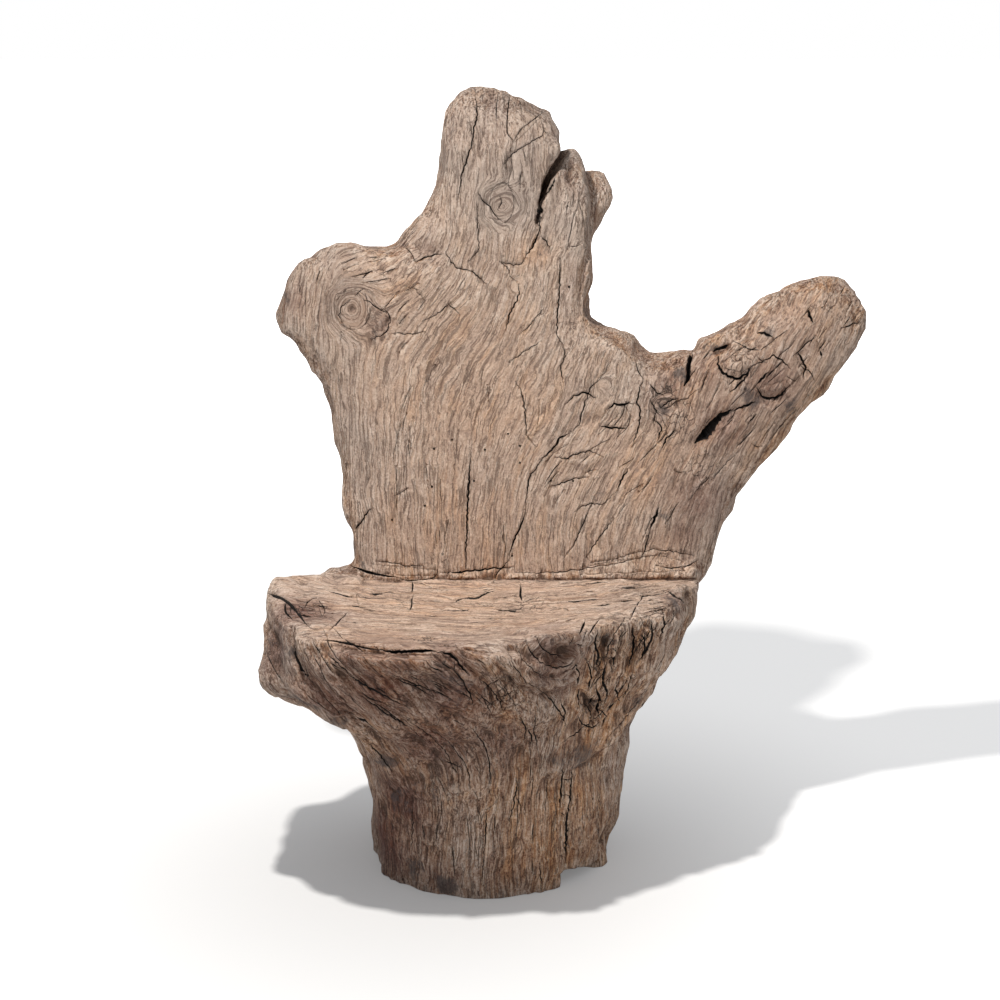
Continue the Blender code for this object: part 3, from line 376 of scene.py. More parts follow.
# Furrows and ridges drawn on the photograph: width and height in millimetres, then the course
RIDGES = (
    # the swirl under the rim, its lip and its rings
    (15, 3, (500, 620), (522, 632), (545, 637), (568, 638), (590, 634)),
    (26, -3, (514, 646), (530, 656), (550, 659), (572, 654)),
    (9, -5, (506, 640), (512, 656), (524, 668), (542, 676), (560, 676), (576, 666)),
    (9, 4, (500, 646), (508, 664), (522, 677), (542, 685), (564, 684), (584, 672)),
    (9, -4, (492, 650), (502, 672), (518, 688), (542, 695), (568, 692)),
    (9, 4, (532, 664), (548, 668), (564, 664)),
    # the rim from the left corner to the swirl
    (10, -6, (326, 642), (360, 650), (392, 655), (430, 655), (458, 664)),
    (12, 4, (330, 652), (370, 660), (420, 662), (456, 676)),
    (12, -5, (456, 660), (478, 676), (494, 692), (508, 712)),
    (10, 4, (470, 650), (488, 664), (502, 680)),
    # the left corner and the edge that runs down from it
    (11, 2.5, (270, 668), (300, 690), (336, 714), (368, 744), (396, 770)),
    (9, -3.5, (288, 636), (292, 656), (306, 680), (336, 702), (368, 728), (398, 756)),
    (12, 2, (304, 640), (312, 660), (332, 684), (366, 706), (400, 736)),
    (10, -4, (330, 664), (356, 690), (392, 712), (424, 742), (446, 762)),
    (14, 3, (350, 680), (392, 698), (440, 722), (480, 744)),
    (10, -3, (400, 690), (440, 706), (480, 728), (510, 744)),
    (12, -5, (262, 620), (274, 632), (280, 650)),
    (14, -4, (300, 622), (322, 636), (352, 636)),
    # the collar where the foot begins
    (15, 2, (654, 682), (634, 706), (600, 738), (570, 760), (540, 770)),
    (11, -4, (644, 706), (612, 742), (584, 764), (556, 778)),
    (13, 2, (350, 738), (372, 760), (402, 782), (440, 790), (476, 786)),
    (10, -3, (372, 776), (404, 796), (440, 802)),
    # the ravaged wood at the right of the rim
    (8, -4, (606, 634), (602, 648), (604, 664)),
    (8, -4, (630, 622), (634, 642), (628, 668)),
    (7, 4, (618, 628), (614, 648), (612, 672)),
    (8, -4, (644, 618), (648, 640), (640, 664)),
    (12, -4, (660, 612), (670, 614), (679, 618)),
    (14, -4, (676, 592), (686, 600), (690, 590)),
    (12, -4, (580, 690), (586, 704), (598, 714)),
    (8, 4, (586, 684), (594, 700), (592, 722)),
    (12, 5, (590, 622), (630, 612), (668, 596), (692, 582)),
    (10, -4, (600, 676), (630, 680), (652, 668)),
    # upper limb
    (7, -2.5, (486, 92), (485, 118), (482, 140), (470, 170), (462, 215)),
    (9, 2.0, (492, 100), (492, 130), (488, 150), (478, 178)),
    (9, -2.0, (508, 96), (506, 120), (508, 140)),
    (10, -3.0, (520, 112), (532, 128), (540, 140)),
    (18, -4.0, (412, 240), (428, 250), (444, 256)),
    (14, 3.0, (560, 168), (566, 190), (562, 220)),
    # shoulder
    (12, -3.0, (296, 262), (300, 290), (300, 330)),
    (14, 3.0, (316, 256), (340, 246), (372, 246)),
    (12, -3.5, (374, 262), (392, 276), (398, 300)),
    (6, -2.5, (362, 296), (378, 306), (388, 320), (380, 336)),
    # backrest: the dented belt across its right half and the hollows beside the arm
    (16, -3.0, (556, 436), (590, 420), (620, 416), (640, 424)),
    (12, 2.5, (560, 462), (590, 460), (620, 452)),
    (16, -3.5, (650, 400), (668, 410), (684, 402)),
    (10, -2.0, (540, 500), (552, 486), (586, 478)),
    (12, -3.0, (352, 574), (380, 580), (430, 584)),
    (8, 5, (446, 578), (462, 576), (478, 577)),
    (9, 5, (500, 578), (518, 576), (542, 577)),
    (7, 5, (548, 577), (560, 576), (574, 578)),
    (10, 5, (582, 577), (604, 576), (624, 577)),
    (8, 5, (634, 578), (650, 575), (664, 577)),
    (9, 5, (668, 577), (680, 575), (694, 574)),
    # arm: the hollow at its root, the blocks and the long slit
    (16, -3, (692, 352), (688, 366), (690, 380)),
    (11, -6, (712, 352), (722, 348), (732, 344)),
    (16, 5, (726, 366), (738, 366), (750, 360)),
    (16, -4, (752, 342), (766, 340), (780, 346)),
    (14, 4, (764, 386), (776, 388), (784, 384)),
    (14, -4, (756, 392), (766, 400), (784, 396)),
    (16, -2, (692, 446), (712, 428), (736, 410)),
    (14, 3, (700, 456), (724, 436), (752, 414)),
    (14, -4, (798, 350), (804, 366), (810, 378)),
    (18, 4, (786, 300), (808, 292), (830, 290)),
    (10, -3, (842, 330), (852, 326), (860, 320)),
    (12, -3, (660, 366), (672, 362), (684, 360)),
)

# Where the wood swells or draws back: middle in the photograph, reach and height in millimetres
SWELLS = (
    ((303, 580), 10, -5), ((316, 576), 9, 3), ((336, 577), 15, -4), ((278, 581), 12, 5),
    ((284, 330), 12, 5), ((284, 262), 14, -6), ((280, 300), 10, -4), ((318, 252), 14, 4),
    ((690, 349), 9, -7), ((560, 652), 16, -4), ((640, 400), 22, 3),
    ((590, 430), 26, -3), ((770, 372), 16, 3), ((740, 360), 16, 3), ((820, 310), 22, 3),
    ((470, 300), 30, 3), ((430, 250), 18, -4), ((352, 309), 5, -4), ((500, 205), 5, -3),
    ((388, 322), 6, -5), ((382, 338), 5, -4), ((556, 148), 12, 4), ((548, 112), 9, 3),
    ((470, 93), 9, 3), ((492, 92), 7, -3), ((522, 100), 9, 3), ((648, 350), 9, 4),
    ((622, 331), 10, 4), ((604, 322), 8, -3), ((668, 356), 8, -3), ((706, 342), 9, 4),
    ((560, 576), 9, 4), ((592, 575), 12, 6), ((626, 573), 14, 8), ((660, 571), 14, 9),
    ((690, 570), 12, 9), ((478, 577), 8, 4), ((514, 577), 8, 4),
)

# The outline: a pixel on it, reach in pixels, how far the wood there moves out in millimetres
OUTLINE = (
    ((495, 92), 26, -4.5), ((510, 95), 5, -4), ((605, 210), 12, -4), ((590, 260), 14, -4.5),
    ((588, 310), 10, -4), ((632, 335), 12, 5.5), ((767, 300), 18, -13), ((742, 318), 12, -5),
    ((820, 279), 24, -5), ((861, 325), 16, -17), ((824, 393), 16, 7), ((778, 437), 14, -16),
    ((683, 632), 16, -16), ((655, 683), 12, -6), ((370, 805), 20, -4), ((632, 730), 34, -4),
    ((608, 845), 20, -15), ((345, 728), 20, -7),
    ((305, 706), 24, -6), ((268, 682), 16, -15), ((262, 652), 14, -4), ((312, 574), 18, -4),
    ((345, 494), 14, -10), ((418, 220), 14, -7), ((350, 242), 16, 6), ((299, 349), 8, 3),
    ((302, 261), 8, 3), ((274, 577), 8, 3), ((690, 346), 5, -6), ((281, 318), 6, 3),
    ((548, 112), 6, 3), ((446, 112), 8, 2), ((720, 330), 8, -3), ((700, 338), 5, 3),
)

# Short drying checks: middle and radii in the photograph, how many, longest in pixels, widest in
# millimetres, and which strokes they follow
CHECK_FIELDS = (
    ((470, 470), (95, 100), 20, 52, 1.0, "back"),
    ((612, 470), (72, 88), 24, 40, 1.4, "back"),
    ((502, 150), (46, 56), 12, 44, 1.0, "back"),
    ((578, 250), (15, 60), 7, 50, 1.1, "back"),
    ((345, 300), (50, 48), 12, 26, 1.3, "back"),
    ((430, 320), (50, 40), 8, 30, 1.0, "back"),
    ((742, 390), (62, 62), 38, 34, 2.0, "back"),
    ((824, 318), (30, 36), 12, 24, 1.5, "back"),
    ((480, 604), (190, 26), 64, 36, 1.7, "seat"),
    ((300, 606), (26, 22), 10, 20, 2.2, "seat"),
    ((372, 690), (84, 40), 30, 60, 1.9, "stump"),
    ((470, 690), (50, 44), 20, 34, 1.8, "stump"),
    ((622, 664), (60, 52), 34, 34, 2.4, "stump"),
    ((500, 780), (110, 30), 16, 44, 1.5, "stump"),
    ((490, 840), (105, 46), 34, 64, 1.4, "stump"),
)

# Wood that has crazed into small blocks: middle in the photograph, radius in metres, strength
CRAZED = (
    ((504, 694), 0.034, 0.75), ((302, 612), 0.034, 0.8), ((600, 656), 0.044, 0.75),
    ((592, 700), 0.034, 0.75), ((430, 640), 0.040, 0.6), ((520, 606), 0.090, 0.55),
    ((400, 600), 0.070, 0.5), ((640, 590), 0.060, 0.6), ((644, 642), 0.036, 0.7),
    ((664, 400), 0.036, 0.8), ((676, 420), 0.050, 0.6),
    ((740, 370), 0.040, 0.6), ((620, 400), 0.040, 0.4), ((556, 440), 0.050, 0.4),
    ((440, 560), 0.030, 0.5), ((380, 330), 0.020, 0.5), ((700, 470), 0.050, 0.5),
)

# Where the wood is warm tan, and where it is weathered grey (below zero)
WARMTH = (
    ((480, 400), 0.13, 0.8), ((480, 520), 0.12, 0.6), ((470, 604), 0.20, 0.6),
    ((400, 285), 0.05, 0.8), ((470, 570), 0.05, 0.9), ((520, 625), 0.05, 0.8),
    ((530, 250), 0.03, 0.4), ((650, 556), 0.05, 0.8), ((600, 720), 0.08, 1.1),
    ((560, 820), 0.09, 1.1), ((470, 720), 0.10, 0.6), ((700, 400), 0.06, 0.9),
    ((500, 140), 0.12, -0.7), ((580, 220), 0.07, -0.5), ((300, 290), 0.06, -0.3),
    ((330, 340), 0.05, -0.3), ((400, 830), 0.07, 0.2), ((286, 650), 0.05, -0.3),
    ((340, 690), 0.06, 0.3), ((780, 400), 0.08, 0.6), ((820, 310), 0.06, 1.0),
    ((370, 440), 0.08, -0.15), ((560, 360), 0.05, -0.2), ((620, 660), 0.07, 1.0),
    ((640, 460), 0.08, 0.8), ((552, 652), 0.04, 0.6), ((390, 660), 0.06, 0.6),
)

# Where the wood is darker: partly damp and dirt, partly painted shade, most of all below the rim, on the
# flare and on the foot
DAMP_AND_SHADE = (
    ((386, 840), 0.075, 1.0), ((400, 800), 0.070, 0.92), ((380, 690), 0.070, 0.80),
    ((330, 700), 0.070, 0.78), ((450, 670), 0.050, 0.72), ((455, 700), 0.070, 0.78),
    ((430, 740), 0.080, 0.80), ((500, 740), 0.060, 0.60), ((548, 662), 0.054, 0.65),
    ((672, 385), 0.030, 0.55), ((440, 880), 0.040, 0.60), ((500, 880), 0.050, 0.30),
    ((292, 300), 0.030, 0.45), ((700, 500), 0.050, 0.60), ((684, 532), 0.034, 0.50),
    ((720, 425), 0.050, 0.60),
    ((706, 372), 0.040, 0.45), ((770, 385), 0.050, 0.60), ((560, 760), 0.040, 0.20),
    ((276, 650), 0.045, 0.75), ((302, 612), 0.050, 0.85),
    ((676, 600), 0.030, 0.45), ((660, 400), 0.030, 0.35), ((380, 325), 0.024, 0.40),
    ((430, 250), 0.030, 0.20), ((330, 290), 0.060, 0.20), ((500, 130), 0.070, 0.15),
    ((800, 340), 0.060, 0.30), ((350, 660), 0.040, 0.70), ((404, 664), 0.040, 0.66),
)

# Stains: middle in the photograph, radius in metres, strength
STAINS = (
    ((585, 757), 0.030, 0.8), ((446, 884), 0.020, 1.0), ((414, 868), 0.024, 0.6),
    ((554, 760), 0.022, 0.5), ((600, 492), 0.016, 0.5), ((661, 512), 0.012, 0.6),
    ((498, 598), 0.010, 0.4), ((386, 762), 0.024, 0.7), ((400, 800), 0.030, 0.5),
    ((292, 652), 0.020, 0.7), ((276, 640), 0.018, 0.5), ((680, 375), 0.014, 0.8),
    ((712, 350), 0.014, 0.6), ((664, 408), 0.018, 0.7), ((750, 400), 0.022, 0.6),
    ((790, 408), 0.018, 0.6), ((430, 258), 0.022, 0.4), ((398, 246), 0.020, 0.3),
    ((452, 132), 0.010, 0.6), ((545, 655), 0.022, 0.15), ((494, 690), 0.020, 0.2),
    ((500, 630), 0.014, 0.4), ((612, 640), 0.030, 0.5), ((672, 600), 0.020, 0.7),
    ((590, 700), 0.022, 0.6), ((300, 700), 0.040, 0.6), ((340, 720), 0.030, 0.5),
    ((460, 690), 0.050, 0.4), ((400, 660), 0.040, 0.3), ((640, 700), 0.020, 0.5),
    ((286, 300), 0.022, 0.5), ((376, 330), 0.014, 0.5), ((590, 172), 0.030, 0.5),
    ((770, 330), 0.016, 0.5), ((805, 370), 0.014, 0.5), ((364, 564), 0.014, 0.5),
    ((548, 634), 0.012, 0.3), ((470, 850), 0.024, 0.4), ((424, 790), 0.030, 0.4),
)


def photo_ray(u, v):
    """The direction in which the camera sees a pixel of the photograph."""
    focal = LENS / SENSOR * PHOTO_SIZE
    middle = PHOTO_SIZE / 2.0
    return (FORWARD + RIGHT * ((u - middle) / focal) - UP * ((v - middle) / focal)).normalized()


def photo_pixels(points):
    """Where the camera sees places, as pixels of the photograph."""
    ways = points - np.array(CAMERA_PLACE)
    focal = LENS / SENSOR * PHOTO_SIZE / (ways @ np.array(FORWARD))
    middle = PHOTO_SIZE / 2.0
    return middle + ways @ np.array(RIGHT) * focal, middle - ways @ np.array(UP) * focal


def show(obj):
    bpy.context.collection.objects.link(obj)
    return obj


def pick(obj):
    """Makes one object the only one selected, and the active one."""
    bpy.ops.object.select_all(action="DESELECT")
    obj.select_set(True)
    bpy.context.view_layer.objects.active = obj


def edit_all(obj):
    """Opens a mesh for editing with all of it selected."""
    pick(obj)
    bpy.ops.object.mode_set(mode="EDIT")
    bpy.ops.mesh.select_all(action="SELECT")


def edit_done():
    bpy.ops.object.mode_set(mode="OBJECT")


def apply_modifier(obj, kind, **settings):
    pick(obj)
    modifier = obj.modifiers.new(kind.lower(), kind)
    for name, value in settings.items():
        setattr(modifier, name, value)
    bpy.ops.object.modifier_apply(modifier=modifier.name)


def carve(obj, operation, cutter):
    """Cuts with a closed cutter, which is dropped afterwards."""
    apply_modifier(obj, "BOOLEAN", operation=operation, solver="MANIFOLD", object=cutter)
    bpy.data.objects.remove(cutter, do_unlink=True)


def solid_copy(node_name, name):
    """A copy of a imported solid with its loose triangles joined."""
    obj = show(bpy.data.objects.new(name, frame["nodes"][node_name].data.copy()))
    obj.data.materials.clear()
    edit_all(obj)
    bpy.ops.mesh.remove_doubles(threshold=SAME_PLACE)
    edit_done()
    return obj


def points_of(mesh):
    flat = np.empty(len(mesh.vertices) * 3, np.float32)
    mesh.vertices.foreach_get("co", flat)
    return flat.reshape(-1, 3).astype(float)


def normals_of(mesh):
    flat = np.empty(len(mesh.vertices) * 3, np.float32)
    mesh.vertex_normals.foreach_get("vector", flat)
    return flat.reshape(-1, 3).astype(float)


def value_noise(points, seed):
    """Smooth noise from minus one to one on a lattice of unit cells."""
    lattice = np.random.default_rng(seed).uniform(-1.0, 1.0, (LATTICE_CELLS,) * 3)
    base = np.floor(points).astype(int)
    share = points - base
    share = share * share * (3.0 - 2.0 * share)
    total = np.zeros(len(points))
    for corner in itertools.product((0, 1), repeat=3):
        weight = np.ones(len(points))
        for axis, far in enumerate(corner):
            weight *= share[:, axis] if far else 1.0 - share[:, axis]
        i, j, k = ((base[:, axis] + corner[axis]) % LATTICE_CELLS for axis in range(3))
        total += weight * lattice[i, j, k]
    return total


def fractal_noise(points, seed, octaves):
    total = np.zeros(len(points))
    for octave in range(octaves):
        total += value_noise(points * 2.0**octave, seed + octave) * 0.5**octave
    return total


def creased_noise(points, seed):
    """Noise with sharp crests, from minus one to one."""
    return 1.0 - 2.0 * np.abs(value_noise(points, seed))


def smooth_step(low, high, values):
    share = np.clip((values - low) / (high - low), 0.0, 1.0)
    return share * share * (3.0 - 2.0 * share)


def distances(points, place):
    return np.linalg.norm(points - np.array(place), axis=1)


def back_face(heights):
    """How far back the sawn face of the backrest stands at each height."""
    return BACK_ROOT + (heights - SEAT_LEVEL) * math.tan(BACK_LEAN)


class NodeMaker:
    """Adds nodes to one node tree. A value is a number, a colour or another node's output."""

    def __init__(self, tree):
        self.tree = tree

    def add(self, kind, inputs=None, **settings):
        node = self.tree.nodes.new("ShaderNode" + kind)
        for name, setting in settings.items():
            setattr(node, name, setting)
        for key, value in (inputs or {}).items():
            if isinstance(value, bpy.types.NodeSocket):
                self.tree.links.new(value, node.inputs[key])
            else:
                node.inputs[key].default_value = value
        return node

    def math(self, operation, *values):
        return self.add("Math", dict(enumerate(values)), operation=operation).outputs[0]

    def plus(self, first, second):
        return self.math("ADD", first, second)

    def times(self, first, second):
        return self.math("MULTIPLY", first, second)

    def times_plus(self, first, second, third):
        return self.math("MULTIPLY_ADD", first, second, third)

    def step(self, value, low, high, out_low=0.0, out_high=1.0):
        """Eases from one answer to the other while the value goes from low to high."""
        inputs = {"Value": value, "From Min": low, "From Max": high, "To Min": out_low, "To Max": out_high}
        return self.add("MapRange", inputs, interpolation_type="SMOOTHSTEP").outputs[0]

    def noise(self, vector, scale, detail, roughness, distortion=0.0, output=0):
        inputs = {"Vector": vector, "Scale": scale, "Detail": detail, "Roughness": roughness}
        return self.add("TexNoise", inputs | {"Distortion": distortion}).outputs[output]

    def stretch(self, vector, scale):
        return self.add("Mapping", {"Vector": vector, "Scale": scale}).outputs[0]

    def shift(self, vector, amount, reach):
        """A vector, moved by an amount times its reach along each axis."""
        inputs = {0: amount, 1: reach, 2: vector}
        return self.add("VectorMath", inputs, operation="MULTIPLY_ADD").outputs[0]

    def tint(self, share, first, second, blend="MIX"):
        """The first colour, mixed with the second or multiplied by it."""
        inputs = {0: share, 6: first, 7: second}
        return self.add("Mix", inputs, data_type="RGBA", blend_type=blend).outputs[2]

    def ramp(self, share, stops):
        node = self.add("ValToRGB", {0: share})
        elements = node.color_ramp.elements
        while len(elements) < len(stops):
            elements.new(0.5)
        for element, (place, shade) in zip(elements, stops):
            element.position = place
            element.color = shade
        return node.outputs[0]

    def attribute(self, name, output="Fac"):
        return self.add("Attribute", attribute_name=name).outputs[output]


# The camera and the light

KEY_LAMP_PLACE = (-0.36, -0.48, 1.9)
KEY_LAMP_RADIUS = 0.04
KEY_LAMP_COLOUR = (1.0, 0.97, 0.93, 1.0)
KEY_LAMP_STRENGTH = 37.0
FILL_PLACE = Vector((1.5, -2.7, 1.0))
FILL_AIM = Vector((0.1, 0.0, 0.35))
FILL_WIDTH = 1.8
FILL_COLOUR = (1.0, 0.98, 0.95)
FILL_POWER = 3.5
DOME_COLOUR = (0.95, 0.97, 1.0, 1.0)
DOME_STRENGTH = 0.44
WHITE = (1.0, 1.0, 1.0, 1.0)
FLOOR_WIDTH = 24.0
FLOOR_GREY = (0.62, 0.62, 0.62, 1.0)
SHADOW_MIDDLE = (-0.15, -0.15, 0.0)
# The floor's glow: the distances between which it changes, then its strength there
# GLOW_NEAR is painted light seen only by the camera; it is weakest near the foot, so the floor round the
# chair stays darker as painted shade
GLOW_NEAR = (0.10, 1.00, 0.13, 0.51)
GLOW_FAR = (2.20, 3.20)
GLOW_BEHIND = (1.30, 2.20)


def add_camera():
    camera = show(bpy.data.objects.new("camera", bpy.data.cameras.new("camera")))
    camera.location = CAMERA_PLACE
    camera.rotation_euler = FORWARD.to_track_quat("-Z", "Y").to_euler()
    camera.data.lens = LENS * 1000.0
    camera.data.sensor_width = SENSOR * 1000.0
    bpy.context.scene.camera = camera


def add_key_lamp():
    """A small lamp above and left, which doesn't weaken with distance."""
    light = bpy.data.lights.new("key_lamp", "POINT")
    light.energy = 1.0
    light.shadow_soft_size = KEY_LAMP_RADIUS
    light.use_nodes = True
    falloff = NodeMaker(light.node_tree).add("LightFalloff", {"Strength": KEY_LAMP_STRENGTH})
    emission = light.node_tree.nodes["Emission"].inputs
    light.node_tree.links.new(falloff.outputs["Constant"], emission["Strength"])
    emission["Color"].default_value = KEY_LAMP_COLOUR
    show(bpy.data.objects.new("key_lamp", light)).location = KEY_LAMP_PLACE


def add_fill_panel():
    """A wide soft lamp from the front right."""
    light = bpy.data.lights.new("fill_panel", "AREA")
    light.energy = FILL_POWER
    light.size = FILL_WIDTH
    light.color = FILL_COLOUR
    panel = show(bpy.data.objects.new("fill_panel", light))
    panel.location = FILL_PLACE
    panel.rotation_euler = (FILL_AIM - FILL_PLACE).to_track_quat("-Z", "Y").to_euler()


def add_world():
    """White for the camera and for gloss, and a softer dome for the light."""
    world = bpy.data.worlds.new("white_studio")
    world.use_nodes = True
    world.node_tree.nodes.clear()
    make = NodeMaker(world.node_tree)
    rays = make.add("LightPath").outputs
    seen = make.math("MAXIMUM", rays["Is Glossy Ray"], rays["Is Transmission Ray"])
    seen = make.math("MAXIMUM", rays["Is Camera Ray"], seen)
    dome = make.add("Background", {"Color": DOME_COLOUR, "Strength": DOME_STRENGTH})
    white = make.add("Background", {"Color": WHITE, "Strength": 1.0})
    mix = make.add("MixShader", {0: seen, 1: dome.outputs[0], 2: white.outputs[0]})
    make.add("OutputWorld", {"Surface": mix.outputs[0]})
    bpy.context.scene.world = world


def add_floor():
    """A pale floor that keeps the shadow. Away from the chair it is as white as the backdrop."""
    bpy.ops.mesh.primitive_plane_add(size=FLOOR_WIDTH, location=(0.0, 0.0, 0.0))
    floor = bpy.context.active_object
    floor.name = "floor"
    material = bpy.data.materials.new("white_floor")
    material.use_nodes = True
    material.node_tree.nodes.clear()
    make = NodeMaker(material.node_tree)
    place = make.add("TexCoord").outputs["Object"]
    distance = make.add("VectorMath", {0: place, 1: SHADOW_MIDDLE}, operation="DISTANCE").outputs["Value"]
    depth = make.add("SeparateXYZ", {0: place}).outputs["Y"]
    white = make.math("MAXIMUM", make.step(depth, *GLOW_BEHIND), make.step(distance, *GLOW_FAR))
    glow = make.plus(make.step(distance, *GLOW_NEAR), white)
    glow = make.times(glow, make.add("LightPath").outputs["Is Camera Ray"])
    diffuse = make.add("BsdfDiffuse", {"Color": FLOOR_GREY})
    emission = make.add("Emission", {"Strength": glow})
    both = make.add("AddShader", {0: diffuse.outputs[0], 1: emission.outputs[0]})
    make.add("OutputMaterial", {"Surface": both.outputs[0]})
    floor.data.materials.append(material)


# The skin of the log


def fused_skin():
    """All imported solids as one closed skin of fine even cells, with the facets worn off."""
    parts = [solid_copy(name, "part_" + name) for name in sorted(frame["nodes"])]
    skin = parts[0]
    pick(skin)
    for part in parts:
        part.select_set(True)
    bpy.ops.object.join()
    skin.name = "skin"
    bpy.ops.object.mode_set(mode="EDIT")
    bpy.ops.mesh.select_all(action="DESELECT")
    bpy.ops.mesh.select_mode(type="VERT")
    bm = bmesh.from_edit_mesh(skin.data)
    for vertex in bm.verts:
        vertex.select_set(vertex.co.z < FOOT_TOUCH)
    bpy.ops.transform.translate(value=(0.0, 0.0, -FOOT_SPARE))
    edit_done()
    apply_modifier(skin, "REMESH", mode="VOXEL", voxel_size=SKIN_CELL)
    apply_modifier(skin, "SMOOTH", factor=0.5, iterations=SKIN_PASSES)
    return skin


def skin_tree(skin):
    bpy.context.view_layer.update()
    return BVHTree.FromObject(skin, bpy.context.evaluated_depsgraph_get())


def on_front(tree, u, v):
    """Where the camera sees the wood at a pixel: its place and its normal."""
    return tree.ray_cast(CAMERA_PLACE, photo_ray(u, v))[:2]


def on_rear(tree, x, z):
    """The same, seen straight from behind."""
    return tree.ray_cast(Vector((x, REAR_VIEW, z)), Vector((0.0, -1.0, 0.0)))[:2]


def wander(corners, stride, sway, seed):
    """A drawn line in short strides, swaying a little from side to side as a crack does."""
    draw = np.random.default_rng(seed)
    line = []
    for (a0, b0), (a1, b1) in zip(corners, corners[1:]):
        length = math.hypot(a1 - a0, b1 - b0)
        strides = max(2, round(length / stride))
        for step in range(strides):
            share = step / strides
            bow = draw.uniform(-sway, sway) * min(1.0, length / (4.0 * stride))
            a = a0 + (a1 - a0) * share - (b1 - b0) / length * bow
            b = b0 + (b1 - b0) * share + (a1 - a0) / length * bow
            line.append((a, b))
    line.append(corners[-1])
    return line


def course(tree, find, line):
    """Places and normals on the wood along a line, evened out where the wood lies level."""
    found = [find(tree, a, b) for a, b in line]
    found = [(place, normal) for place, normal in found if place is not None]
    places = [place for place, _ in found]
    normals = [normal for _, normal in found]
    if normals and sum(normal.z for normal in normals) / len(normals) > LEVEL_WOOD:
        for _ in range(3):
            for i in range(1, len(places) - 1):
                places[i] = (places[i - 1] + places[i] * 2.0 + places[i + 1]) / 4.0
    return places, normals


def distance_to_course(points, places):
    """Distance of each point to the line through the places, and how far along it is."""
    nearest = np.full(len(points), FAR_AWAY)
    along = np.zeros(len(points))
    count = len(places) - 1
    for i in range(count):
        start = np.array(places[i])
        leg = np.array(places[i + 1]) - start
        length = max(float(leg @ leg), TINY**2)
        share = np.clip((points - start) @ leg / length, 0.0, 1.0)
        gap = np.linalg.norm(points - start - share[:, None] * leg, axis=1)
        closer = gap < nearest
        nearest[closer] = gap[closer]
        along[closer] = (i + share[closer]) / count
    return nearest, along


def stretches(places, normals):
    """The unbroken runs of a course, which leaps where the wood hides behind an edge."""
    runs = []
    for i, place in enumerate(places):
        if i == 0 or (place - places[i - 1]).length > COURSE_LEAP:
            runs.append(([], []))
        runs[-1][0].append(place)
        runs[-1][1].append(normals[i])
    return [run for run in runs if len(run[0]) > 2]


# The grain: charts of coordinates across and along the fibres


def potential(field):
    """The surface whose slope is nearest to the field, on a grid of unit steps."""
    east = (field[1:, :, 0] + field[:-1, :, 0]) / 2.0
    north = (field[:, 1:, 1] + field[:, :-1, 1]) / 2.0
    pull = np.zeros(field.shape[:2])
    pull[:-1] += east
    pull[1:] -= east
    pull[:, :-1] += north
    pull[:, 1:] -= north
    mirrored = np.block([[pull, pull[:, ::-1]], [pull[::-1], pull[::-1, ::-1]]])
    waves = np.fft.fft2(mirrored)
    turns = [2.0 * np.cos(math.tau * np.arange(size) / size) - 2.0 for size in mirrored.shape]
    stiffness = turns[0][:, None] + turns[1][None, :]
    stiffness[0, 0] = 1.0
    waves[0, 0] = 0.0
    heights = np.fft.ifft2(waves / stiffness).real
    return heights[: field.shape[0], : field.shape[1]]


def grain_chart(strokes, low, high, rest):
    """Coordinates across and along the fibres, in a plane where the strokes show their course."""
    a = np.arange(low[0], high[0], CHART_STEP)
    b = np.arange(low[1], high[1], CHART_STEP)
    grid_a, grid_b = np.meshgrid(a, b, indexing="ij")
    flow = np.zeros(grid_a.shape + (2,)) + np.array(rest) * REST_PULL
    for start, end in strokes:
        along = end - start
        length = np.linalg.norm(along)
        for share in (0.0, 0.5, 1.0):
            middle = start + along * share
            reach = (grid_a - middle[0]) ** 2 + (grid_b - middle[1]) ** 2
            weight = np.exp(-reach / (2.0 * STROKE_REACH**2))
            flow += weight[..., None] * along / length
    flow /= np.linalg.norm(flow, axis=-1, keepdims=True)
    across = np.stack([flow[..., 1], -flow[..., 0]], axis=-1)
    sheets = [potential(field) * CHART_STEP for field in (across, flow)]

    def read(points_a, points_b):
        i = np.clip((points_a - low[0]) / CHART_STEP, 0.0, len(a) - 1.001)
        j = np.clip((points_b - low[1]) / CHART_STEP, 0.0, len(b) - 1.001)
        i0 = i.astype(int)
        j0 = j.astype(int)
        s = i - i0
        t = j - j0
        answers = []
        for sheet in sheets:
            near = sheet[i0, j0] * (1.0 - s) + sheet[i0 + 1, j0] * s
            far = sheet[i0, j0 + 1] * (1.0 - s) + sheet[i0 + 1, j0 + 1] * s
            answers.append(near * (1.0 - t) + far * t)
        return answers

    return read


def drawn_strokes(tree, strokes, axes):
    """Strokes carried from the photograph onto the wood, in the plane of two axes."""
    carried = []
    for stroke in strokes:
        first, last = (on_front(tree, *pixel)[0] for pixel in stroke)
        if first is None or last is None:
            continue
        first = np.array([first[axis] for axis in axes])
        last = np.array([last[axis] for axis in axes])
        if np.linalg.norm(last - first) > SHORTEST_STROKE:
            carried.append((first, last))
    return carried


# Where parts of the wood begin and end: between the two values a share eases from nothing to one
STUMP_FRONT = (0.03, -0.05)
STUMP_BELOW = (0.425, 0.405)
SEAT_ABOVE = (0.376, 0.388)
SEAT_BELOW = (0.450, 0.430)
SEAT_AHEAD = (0.004, -0.004)
SEAT_SLANT = (0.45, 0.75)
BACK_NEAR = (0.028, 0.012)
BACK_ABOVE = (0.395, 0.410)
BACK_SLANT = (0.55, 0.85)
REAR_FIBRES = np.arange(-0.30, 0.31, 0.06)  # where upright fibres stand behind the seat
KNOT_SHAPE = (1.0, 0.45, 1.0)  # its rings reach deeper than wide


